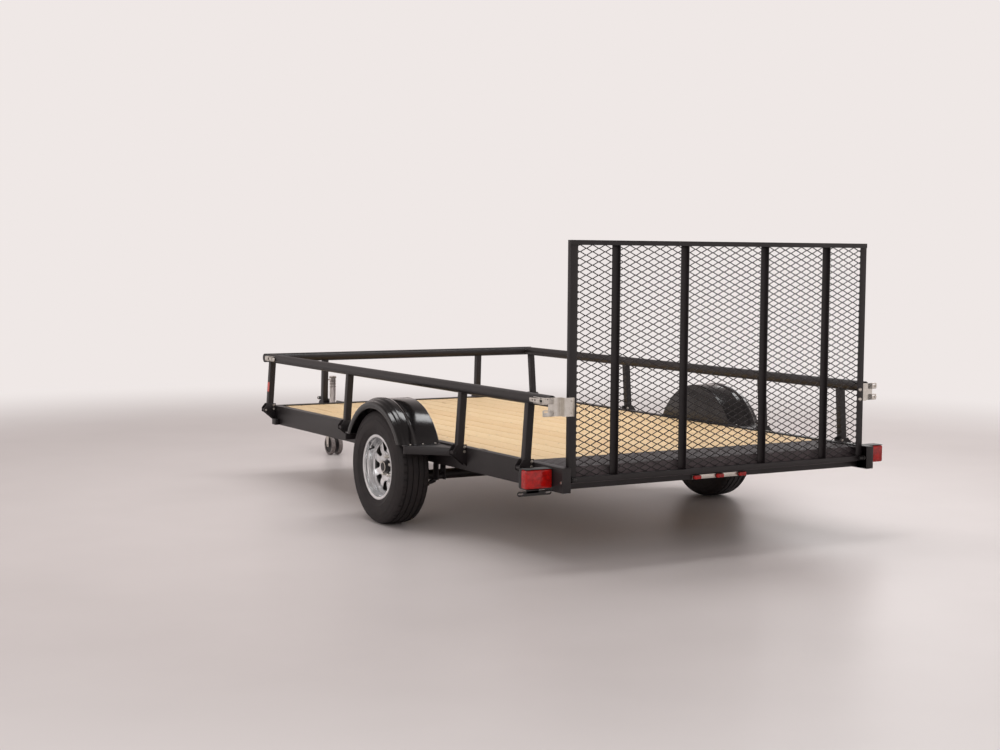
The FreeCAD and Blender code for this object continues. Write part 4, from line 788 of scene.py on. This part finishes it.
def wheel_centre(name, place, body, node):
    """The pressed centre: a bolting pad, a raised shoulder and eight rounded windows."""
    half = math.pi / WINDOWS
    rings = [42, 60, 74, 84, 96, 112, 128, 144, 159]

    def polar(radius, angle):
        return (radius * math.sin(angle), radius * math.cos(angle))

    edge = [polar(radius, -half) for radius in rings]
    edge += [polar(rings[-1], -half + half * step / 4) for step in range(1, 8)]
    edge += [polar(radius, half) for radius in reversed(rings)]
    edge += [polar(rings[0], half - half * step / 2) for step in range(1, 4)]
    window = rounded([(-14, 84), (14, 84), (36, 145), (-36, 145)], 9, 6)
    bm = bmesh.new()
    loops = []
    for outline in (edge, window):
        verts = [bm.verts.new((x, y, 0)) for x, y in in_mm(outline)]
        loops += [bm.edges.new((verts[index - 1], verts[index])) for index in range(len(verts))]
    bridged = bmesh.ops.bridge_loops(bm, edges=loops)
    bmesh.ops.subdivide_edges(bm, edges=bridged["edges"], cuts=3, use_grid_fill=True)
    bmesh.ops.spin(bm, geom=everything(bm), cent=(0, 0, 0), axis=Z, dvec=(0, 0, 0),
                   angle=math.tau * (WINDOWS - 1) / WINDOWS, steps=WINDOWS - 1,
                   use_duplicate=True)
    bmesh.ops.remove_doubles(bm, verts=bm.verts, dist=0.05 * MM)
    dished(bm, [(0, 17), (70, 17), (82, 24), (96, 32), (120, 35), (146, 32), (153, 27), (159, 22), (200, 22)])
    bmesh.ops.recalc_face_normals(bm, faces=bm.faces)
    bmesh.ops.solidify(bm, geom=bm.faces[:], thickness=5 * MM)
    bmesh.ops.transform(bm, matrix=place, verts=bm.verts)
    piece(name, bm, body, "wheel_silver", stands_for=[node], sharp=40)


def hub(side, place, body):
    """The hub with its flange, dust cap and rubber plug."""
    profile = [(17.2, -52), (36, -52), (38, -50), (38, 0), (60, 1), (72, 1), (72, 9.5), (38, 9.8), (38, 19),
               (36.6, 21), (33, 21.6), (32, 24), (32, 43), (30.6, 46), (28, 47.4), (26, 47.5), (25.4, 45.5),
               (21, 45), (19, 46.4), (14, 46.9), (0, 47)]
    bm = bmesh.new()
    turned(bm, in_mm(profile), place, 40)
    piece(f"hub_and_cap_{side}", bm, body, "hub_steel", stands_for=[f"hub_{side}"], sharp=30)


def lug_nuts(side, place, body):
    """Five zinc nuts on their circle, and the bright ring round the dust cap's plug."""
    ring = in_mm([(25.6, 44), (25.6, 47.6), (28.2, 47.8), (30.4, 46.6), (30, 44), (25.6, 44)])
    dome = in_mm([(8, 17), (6.5, 19.6), (3, 21), (0, 21.3)])
    nuts, circle, pad = 5, 57.15 * MM, 16.5 * MM
    out = place.to_3x3() @ Z
    bm = bmesh.new()
    turned(bm, ring, place, 40)
    for number in range(nuts):
        angle = math.tau * number / nuts
        foot = place @ Vector((circle * math.sin(angle), circle * math.cos(angle), pad))
        flange = foot + out * 4 * MM
        bar(bm, foot, flange, 11.5 * MM, 24, tip=10.4 * MM)
        bar(bm, flange, foot + out * 17 * MM, 10.4 * MM, 6, soft=1.2 * MM)
        turned(bm, dome, aimed(foot, out), 16)
    piece(f"lug_nuts_{side}", bm, body, "zinc_plate")


def tyre_valve(side, place, body):
    """A rubber valve on the rim, leaning in towards the hub, with its cap."""
    angle = math.radians(-52)
    seat, lean = 162 * MM, 0.45
    foot = place @ Vector((seat * math.sin(angle), seat * math.cos(angle), 44 * MM))
    way = place.to_3x3() @ Vector((-lean * math.sin(angle), -lean * math.cos(angle), 1)).normalized()
    neck, cap, tip = foot + way * 10 * MM, foot + way * 26 * MM, foot + way * 38 * MM
    bm = bmesh.new()
    bar(bm, foot, neck, 8 * MM, 16, tip=6 * MM)
    bar(bm, neck, cap, 4.6 * MM, 16, soft=0.6 * MM)
    bar(bm, cap, tip, 5.2 * MM, 12, soft=1.2 * MM)
    piece(f"tyre_valve_{side}", bm, body, "lamp_plastic")


def wheels():
    """Both wheels, each facing outwards on the axle."""
    for side, sign in SIDES.items():
        body = f"wheel_{side}"
        place = aimed((sign * WHEEL_X, AXLE.y, AXLE.z), (sign, 0, 0))
        tyre(f"ribbed_tyre_{side}", place, body, f"tyre_{side}")
        rim(f"rolled_rim_{side}", place, body, f"rim_{side}")
        wheel_centre(f"wheel_centre_{side}", place, body, f"wheel_disc_{side}")
        hub(side, place, body)
        lug_nuts(side, place, body)
        tyre_valve(side, place, body)


def fenders():
    """Round moulded fenders: a skirt with a rolled lip, a stepped top and an inner wall by the beam."""
    profile = [(246, 345), (250, 344), (252.4, 347), (253, 352), (253, 372), (252.4, 376.4), (250, 380),
               (246.4, 382.6), (241, 384), (231, 384.6), (227, 386.4), (222, 392), (218, 394.6), (213, 395.2),
               (208, 397), (203, 402.4), (199, 404.5), (194, FENDER_R), (172, FENDER_R), (167, 404.6),
               (163, 403.4), (155, 400.4), (150, 399.2), (144, 399), (10, 399), (5, 397.6), (1.4, 394),
               (0, 389)]
    reach = math.radians(72)
    start = Matrix.Rotation(-reach, 4, "X")
    bm = bmesh.new()
    verts = [bm.verts.new(AXLE + start @ Vector((OUT + out, 0, radius))) for out, radius in in_mm(profile)]
    edges = [bm.edges.new(pair) for pair in zip(verts, verts[1:])]
    bmesh.ops.spin(bm, geom=verts + edges, cent=AXLE, axis=X, dvec=(0, 0, 0), angle=2 * reach, steps=64)
    bmesh.ops.bisect_plane(bm, geom=everything(bm), plane_co=(0, 0, FENDER_LOW.z), plane_no=-Z,
                           clear_outer=True)
    wall = [edge for edge in bm.edges if edge.is_boundary
            and all(abs(vert.co.x - OUT) < 0.05 * MM for vert in edge.verts)]
    ends = sorted((vert for edge in wall for vert in edge.verts if vert.co.z < FENDER_LOW.z + 0.1 * MM),
                  key=lambda vert: vert.co.y)
    wall.append(bm.edges.new((ends[0], ends[-1])))
    bmesh.ops.contextual_create(bm, geom=wall)
    bmesh.ops.recalc_face_normals(bm, faces=bm.faces)
    outward = next(face for face in bm.faces if abs(face.normal.x) < 0.1).normal.z
    if outward < 0:
        bmesh.ops.reverse_faces(bm, faces=bm.faces)
    bmesh.ops.solidify(bm, geom=bm.faces[:], thickness=3.5 * MM)
    both_sides(bm)
    piece("moulded_fenders", bm, TRAILER, "moulded_plastic", stands_for=["fenders"], sharp=40)


def fender_feet():
    """A flat foot at each end of each fender, with three bolts down into its bracket."""
    chord = math.sqrt((FENDER_R * MM) ** 2 - (FENDER_LOW.z - AXLE.z) ** 2)
    top = FENDER_LOW.z + 4 * MM
    feet = bmesh.new()
    bolts = bmesh.new()
    for way in (-1, 1):
        edge = AXLE.y + way * chord
        near, far = sorted((edge - way * 30 * MM, edge + way * 22 * MM))
        block(feet, (OUT + 4 * MM, near, FENDER_LOW.z), (OUT + 238 * MM, far, top), 1.5 * MM)
        for out in (40, 120, 200):
            bolt(bolts, (OUT + out * MM, edge + way * 11 * MM, top), Z, 5 * MM)
    both_sides(feet)
    both_sides(bolts)
    piece("fender_feet", feet, TRAILER, "moulded_plastic")
    piece("fender_bolts", bolts, TRAILER, "zinc_plate")


def axle_clamps():
    """U-bolts that hold the springs under the axle, with nuts below their plates."""
    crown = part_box("axle")[1].z - 30 * MM
    plate = min(box[0].z for box in solids("axle"))
    spring_x = OUT - 25 * MM
    leg, rod = 35.5 * MM, 5 * MM
    bm = bmesh.new()
    for x in (spring_x - 27 * MM, spring_x + 27 * MM):
        start = Matrix.Translation((x, AXLE.y + leg, crown))
        ring = bmesh.ops.create_circle(bm, cap_ends=False, segments=12, radius=rod, matrix=start)["verts"]
        bmesh.ops.spin(bm, geom=ring + edges_of(ring), cent=(x, AXLE.y, crown), axis=X, dvec=(0, 0, 0),
                       angle=math.pi, steps=18)
        for y in (AXLE.y - leg, AXLE.y + leg):
            bar(bm, (x, y, plate - 22 * MM), (x, y, crown), rod, 12, soft=0.6 * MM)
            bar(bm, (x, y, plate - 12 * MM), (x, y, plate), 2 * rod, 6, soft=0.8 * MM)
    both_sides(bm)
    piece("spring_u_bolts", bm, TRAILER, "zinc_plate")


# ---------------------------------------------------------------- lamps and licence bracket
def tail_lamps():
    """Lamps whose red lens wraps round the sides, on a dark housing with a thin visor along the top."""
    low, high = solids("tail_lamps")[-1]
    front = solids("tail_lamp_lenses")[-1][0].y
    seam = low.y + 38 * MM
    wide, tall = high.x - low.x, high.z - low.z
    centre = Vector(((low.x + high.x) / 2, seam, (low.z + high.z) / 2))
    visor = 3 * MM
    bm = bmesh.new()
    facing_front = Matrix.Translation(centre) @ Matrix.Rotation(-math.pi / 2, 4, "X")
    prism(bm, oblong(wide, tall, radius=9 * MM), facing_front, high.y - seam, 3 * MM)
    lap = 4 * MM
    block(bm, (low.x + lap, front + 1 * MM, high.z - visor), (high.x - lap, seam + lap, high.z), 1.2 * MM)
    both_sides(bm)
    piece("tail_lamp_housings", bm, TRAILER, "lamp_plastic", stands_for=["tail_lamps"])

    bm = bmesh.new()
    outline = oblong(wide - visor, tall - 2 * visor, radius=8 * MM)
    face = bm.faces.new([bm.verts.new((x, y, 0)) for x, y in outline])
    crown = in_mm([(6, 1.5), (3.4, 3), (1.6, 6)])
    for depth, inwards in [(seam - front - 11 * MM, 0)] + crown:
        moved = bmesh.ops.extrude_face_region(bm, geom=[face])["geom"]
        tips = only(bmesh.types.BMVert, moved)
        face = only(bmesh.types.BMFace, moved)[0]
        bmesh.ops.translate(bm, verts=tips, vec=(0, 0, depth))
        bmesh.ops.scale(bm, vec=(1 - 2 * inwards / wide, 1 - 2 * inwards / tall, 1), verts=tips)
    bmesh.ops.transform(bm, matrix=facing_rear(centre - Z * visor / 2), verts=bm.verts)
    both_sides(bm)
    piece("tail_lamp_red_lenses", bm, TRAILER, "red_lens", stands_for=["tail_lamp_lenses"], sharp=50)


def licence_bracket():
    """A rounded strip with a slot near each end, hung under the left lamp by a narrow neck."""
    low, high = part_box("licence_bracket")
    lamp = solids("tail_lamps")[0][0]
    thick, tall, neck, half_foot = 3 * MM, 26 * MM, 75 * MM, 48 * MM
    centre = Vector(((low.x + high.x) / 2, low.y + thick / 2, low.z + tall / 2))
    slot_x = (high.x - low.x) / 2 - 20 * MM
    outlines = [oblong(high.x - low.x, tall)] + [oblong(30 * MM, 9 * MM, (x, 0)) for x in (-slot_x, slot_x)]
    bm = bmesh.new()
    cut_plate(bm, outlines, facing_rear(centre), thick)
    start = low.x + 52 * MM
    block(bm, (start, low.y, centre.z), (start + neck, low.y + thick, lamp.z), 0.5 * MM)
    block(bm, (centre.x - half_foot, low.y, lamp.z - thick), (centre.x + half_foot, high.y, lamp.z), 0.5 * MM)
    piece("licence_plate_strip", bm, TRAILER, "black_powder_coat", hub_paint, ["licence_bracket"])


def identification_lamps():
    """Three small lamps on one bright strip under the rear edge."""
    low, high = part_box("id_light_bar")
    middle = (low.z + high.z) / 2
    end, rib, proud = 4 * MM, 4 * MM, 1.5 * MM
    bm = bmesh.new()
    block(bm, low, high, 1 * MM)
    block(bm, (low.x + end, low.y - proud, middle - rib), (high.x - end, low.y, middle + rib), 0.7 * MM)
    piece("marker_lamp_strip", bm, TRAILER, "zinc_plate", stands_for=["id_light_bar"])
    lens = bmesh.new()
    base = bmesh.new()
    for box_low, box_high in solids("id_light_lenses"):
        stand = facing_rear(((box_low.x + box_high.x) / 2, box_high.y, middle))
        wide, tall = box_high.x - box_low.x, box_high.z - box_low.z
        prism(base, oblong(wide, tall, radius=6 * MM), stand, 4 * MM, 1 * MM)
        prism(lens, oblong(wide - 3 * MM, tall - 2 * MM, radius=6 * MM), stand, box_high.y - box_low.y,
              3.5 * MM)
    piece("marker_lamp_bases", base, TRAILER, "lamp_plastic")
    piece("marker_lamp_lenses", lens, TRAILER, "red_lens", stands_for=["id_light_lenses"])


# ---------------------------------------------------------------- rail and gate fittings
POST_ROWS = [(low.y + high.y) / 2 for low, high in solids("right_rail_posts")]
POSTS_LOW, POSTS_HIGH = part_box("right_rail_posts")
FOOT = 11 * MM  # from a post's foot to its pivot
EAR = 24.8 * MM  # from a post's middle to its bracket's outer face
PIVOT = Vector((POSTS_HIGH.x - FOOT, 0, POSTS_LOW.z + FOOT))


def bracket_bolts():
    """Bright bolts through the post brackets at the beam's edge and dark pivot bolts outboard."""
    head, pin = 6.5 * MM, 5 * MM
    bright = bmesh.new()
    pivots = bmesh.new()
    for row in POST_ROWS:
        for x, z in ((OUT + 13 * MM, TOP + 5 * MM), (OUT + 14 * MM, TOP - 21 * MM)):
            bolt(bright, (x, row - EAR, z), -Y, head, sides=16)
            bolt(bright, (x, row + EAR, z), Y, head, 3 * MM)
        holder = bright if row == POST_ROWS[-1] else pivots
        bolt(holder, (PIVOT.x, row - EAR, PIVOT.z), -Y, head)
        bolt(holder, (PIVOT.x, row + EAR, PIVOT.z), Y, head)
        bar(pivots, (PIVOT.x, row - EAR, PIVOT.z), (PIVOT.x, row + EAR, PIVOT.z), pin, 16)
    both_sides(bright)
    both_sides(pivots)
    piece("bracket_bolts", bright, TRAILER, "zinc_plate")
    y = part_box("front_rail_posts")[1].y - FOOT
    for post_low, post_high in solids("front_rail_posts"):
        x = (post_low.x + post_high.x) / 2
        for way in (-X, X):
            bolt(pivots, Vector((x, y, PIVOT.z)) + way * EAR, way, head)
        bar(pivots, (x - EAR, y, PIVOT.z), (x + EAR, y, PIVOT.z), pin, 16)
    piece("pivot_bolts", pivots, TRAILER, "zinc_plate", hub_paint, ["rail_pins"])


def draw_latch(name, side, near, way, node_list):
    """A toggle latch on a rail's outer face: a perforated lever over a dark base that is painted shade in its
    hollows, pins and a wire bail.

    Its places are in mm: along from its near end, out from the tube's skin and up from its axis.
    """
    skin = RAIL_X + RAIL_R

    def spot(along, out, up):
        return Vector((skin + out * MM, near + way * along * MM, RAIL_Z + up * MM))

    def slab(shape, along, out, up):
        ends = [spot(along[end], out[end], up[end]) for end in (0, 1)]
        block(shape, [min(pair) for pair in zip(*ends)], [max(pair) for pair in zip(*ends)], 0.6 * MM)

    # A dark slab behind the zinc parts: painted shade in the latch's hollows.
    base = bmesh.new()
    slab(base, (12, 122), (-6, 2), (-15, 15))
    bm = bmesh.new()
    for cheek in ((-17, -14), (14, 17)):
        slab(bm, (12, 122), (-4, 5), cheek)
        slab(bm, (14, 66), (2, 13), cheek)
    lever = rounded([(52, -12), (150, -10), (152, 10), (52, 12)], 6)
    holes = [oblong(13, 12, (98, 0)), oblong(10, 10, (124, 0))]
    upright = Matrix(((0, 0, 1, skin + 9.5 * MM), (way, 0, 0, near), (0, 1, 0, RAIL_Z), (0, 0, 0, 1)))
    cut_plate(bm, [in_mm(outline) for outline in [lever] + holes], upright, 2.6 * MM)
    for along in (26, 56):
        bar(bm, spot(along, 8, -17), spot(along, 8, 17), 4 * MM, 16, soft=0.8 * MM)
    for up in (-9, 9):
        bar(bm, spot(-10, 9, up), spot(60, 9, up), 2.8 * MM, 12)
    bar(bm, spot(-10, 9, -15), spot(-10, 9, 15), 3.6 * MM, 14, soft=0.8 * MM)
    for lug in ((-15, -11), (11, 15)):
        slab(bm, (-12, 8), (5, 13), lug)
    for along in (76, 112):
        bolt(bm, spot(along, 2, 0), X, 4.5 * MM, sides=14)
    if side == "left":
        other_side(bm)
        other_side(base)
    piece(name, bm, f"{side}_rail", "zinc_plate", stands_for=node_list)
    piece(name + "_base", base, f"{side}_rail", "zinc_plate", hub_paint)


def latches():
    """A draw latch at each end of each side rail."""
    set_back = 12 * MM
    for side in SIDES:
        rear, front = solids(f"{side}_rail_latches")
        draw_latch(f"{side}_rear_latch", side, rear[0].y - set_back, 1, [f"{side}_rail_latches"])
        draw_latch(f"{side}_front_latch", side, front[1].y + set_back, -1, [])


def front_rail_keepers():
    """The loops on the front rail's ends that the front latches hook over."""
    end = RAIL_HIGH.y
    thick, tall, half, deep = 3 * MM, 4 * MM, 15 * MM, 24 * MM
    far = RAIL_X + 44 * MM
    bm = bmesh.new()
    for low in (RAIL_Z - 12 * MM, RAIL_Z + 9 * MM):
        block(bm, (RAIL_X - RAIL_R, end, low), (far, end + thick, low + tall), 0.6 * MM)
    block(bm, (far - thick, end - deep, RAIL_Z - half), (far, end + thick, RAIL_Z + half), 0.6 * MM)
    both_sides(bm)
    piece("front_rail_keepers", bm, "front_rail", "zinc_plate")


def marker_tape():
    """A faded red reflective strip on the front left post's outer face."""
    post_low, post_high = solids("left_rail_posts")[-1]
    beside = Vector((post_low.x - 1.0, (post_low.y + post_high.y) / 2, TOP + 132 * MM))
    posts = bmesh.new()
    posts.from_mesh(NODES["left_rail_posts"].data)
    face, outward = BVHTree.FromBMesh(posts).ray_cast(beside, X)[:2]
    posts.free()
    lean = math.atan2(outward.z, -outward.x)
    place = (Matrix.Translation(face) @ Matrix.Rotation(lean, 4, "Y")
             @ Matrix.Diagonal((0.8 * MM, 30 * MM, 66 * MM, 1)))
    bm = bmesh.new()
    strip = bmesh.ops.create_cube(bm, size=1.0, matrix=place)["verts"]
    round_edges(bm, edges_of(strip), 0.2 * MM, 1)
    piece("marker_tape", bm, "left_rail", "red_lens", red_tape)


def lashing_rims():
    """The rims of four lashing rings let into each beam's top, placed ahead of its rear end."""
    bm = bmesh.new()
    for along in (0.43, 0.86, 2.62, 3.58):
        place = Matrix.Translation((OUT - 34 * MM, REAR + along, TOP + 1 * MM))
        cut_plate(bm, [oblong(34 * MM, 78 * MM), oblong(18 * MM, 56 * MM)], place, 2 * MM, 0.3 * MM)
    both_sides(bm)
    piece("lashing_rims", bm, TRAILER, "zinc_plate", dull_zinc)


def corner_bolts():
    """A bright round bolt head near each beam's rear end."""
    bm = bmesh.new()
    bolt(bm, (OUT, REAR + 14 * MM, UNDER + 0.42 * (TOP - UNDER)), X, 5 * MM, sides=16)
    both_sides(bm)
    piece("corner_bolts", bm, TRAILER, "zinc_plate")


def hinge_pins():
    """The gate's two hinge pins."""
    bm = bmesh.new()
    for low, high in solids("gate_hinge_pins"):
        start = Vector((low.x, (low.y + high.y) / 2, (low.z + high.z) / 2))
        bar(bm, start, start + X * (high.x - low.x), (high.z - low.z) / 2, 24, soft=1 * MM)
    piece("hinge_pins", bm, TRAILER, "zinc_plate", hub_paint, ["gate_hinge_pins"])


# ---------------------------------------------------------------- tongue and jack
def jack():
    """The jack's zinc-plated tubes, mount and fork."""
    coated("jack_outer_tube", 1.2 * MM, zinc_tube, "zinc_plate")
    coated("jack_inner_tube", 0.6 * MM, zinc_tube, "zinc_plate")
    coated("jack_mount", 1.0 * MM, zinc_plate, "zinc_plate")
    coated("jack_fork", 1.5 * MM, zinc_plate, "zinc_plate")


def jack_cap():
    """The jack tube's cap and the three rolled rings below it."""
    cap = in_mm([(0, 0), (26, 0), (27.5, 2), (27.5, 11), (24, 14.4), (12, 15.6), (0, 16)])
    ring = in_mm(mirrored([(24.6, 2), (26, 1)]))
    bm = bmesh.new()
    for profile, down in ((cap, 16), (ring, 40), (ring, 62), (ring, 84)):
        turned(bm, profile, Matrix.Translation((JACK.x, JACK.y, JACK_HIGH.z - down * MM)), 40)
    piece("jack_cap", bm, "jack_tube", "zinc_plate", dull_zinc)


def crank_grip():
    """The moulded grip on the crank's handle."""
    down, long, radius = 166 * MM, 72 * MM, 12.4 * MM
    grip = Vector((JACK_LOW.x, JACK.y, JACK_HIGH.z - down))
    bm = bmesh.new()
    bar(bm, grip, grip + X * long, radius, 28, soft=3 * MM)
    piece("crank_grip", bm, "jack_tube", "zinc_plate", matt_plastic)


def casters():
    """Two nylon wheels on one pin: a worn grey tread round a dark dished core, whose darkness is painted
    shade on the wheels' side faces.
    """
    y, z = (CASTER_LOW.y + CASTER_HIGH.y) / 2, (CASTER_LOW.z + CASTER_HIGH.z) / 2
    apart = 31 * MM
    radius = (CASTER_HIGH.z - CASTER_LOW.z) / 2 / MM
    tread = in_mm(mirrored([(radius - 16, 14), (radius - 4, 15), (radius - 1, 12), (radius, 6)]))
    core = in_mm(mirrored([(6.5, 14), (16, 15), (20, 9), (radius - 22, 8), (radius - 16, 13)]))
    treads = bmesh.new()
    cores = bmesh.new()
    for way in (-1, 1):
        place = aimed((JACK.x + way * apart, y, z), (way, 0, 0))
        turned(treads, tread, place, 64)
        turned(cores, core, place, 48)
    piece("caster_treads", treads, "jack_rollers", "jack_wheel_nylon", stands_for=["jack_wheels"])
    bar(cores, (CASTER_LOW.x, y, z), (CASTER_HIGH.x, y, z), 6 * MM, 20, soft=1 * MM)
    # The dark cores are painted shade on the wheels' side faces.
    piece("caster_cores", cores, "jack_rollers", "jack_wheel_nylon", matt_plastic)


def coupler_fittings():
    """Bolts through the coupler and the tongue, and the latch lever on top."""
    middle = (TONGUE_LOW.z + TONGUE_HIGH.z) / 2
    bm = bmesh.new()
    for y in (COUPLER_LOW.y + 30 * MM, COUPLER_LOW.y + 90 * MM):
        bolt(bm, (COUPLER_LOW.x, y, middle), -X, 8 * MM)
        bolt(bm, (COUPLER_HIGH.x, y, middle), X, 8 * MM)
    piece("coupler_bolts", bm, TRAILER, "zinc_plate")
    bm = bmesh.new()
    start = Vector((0, COUPLER_LOW.y + 60 * MM, COUPLER_HIGH.z - 10 * MM))
    block(bm, start - Vector((7, 0, 6)) * MM, start + Vector((7, 78, 6)) * MM, 3 * MM)
    piece("coupler_lever", bm, TRAILER, "zinc_plate")


# ---------------------------------------------------------------- the whole trailer
camera()
lamps()
room()
floor()
frame_steel()
rails()
deck()
grip_plate()
grip_plate_lip()
expanded_mesh()
gate_catches()
gate_catch_bolts()
wheels()
fenders()
fender_feet()
axle_clamps()
tail_lamps()
licence_bracket()
identification_lamps()
bracket_bolts()
latches()
front_rail_keepers()
marker_tape()
lashing_rims()
corner_bolts()
hinge_pins()
jack()
jack_cap()
crank_grip()
casters()
coupler_fittings()
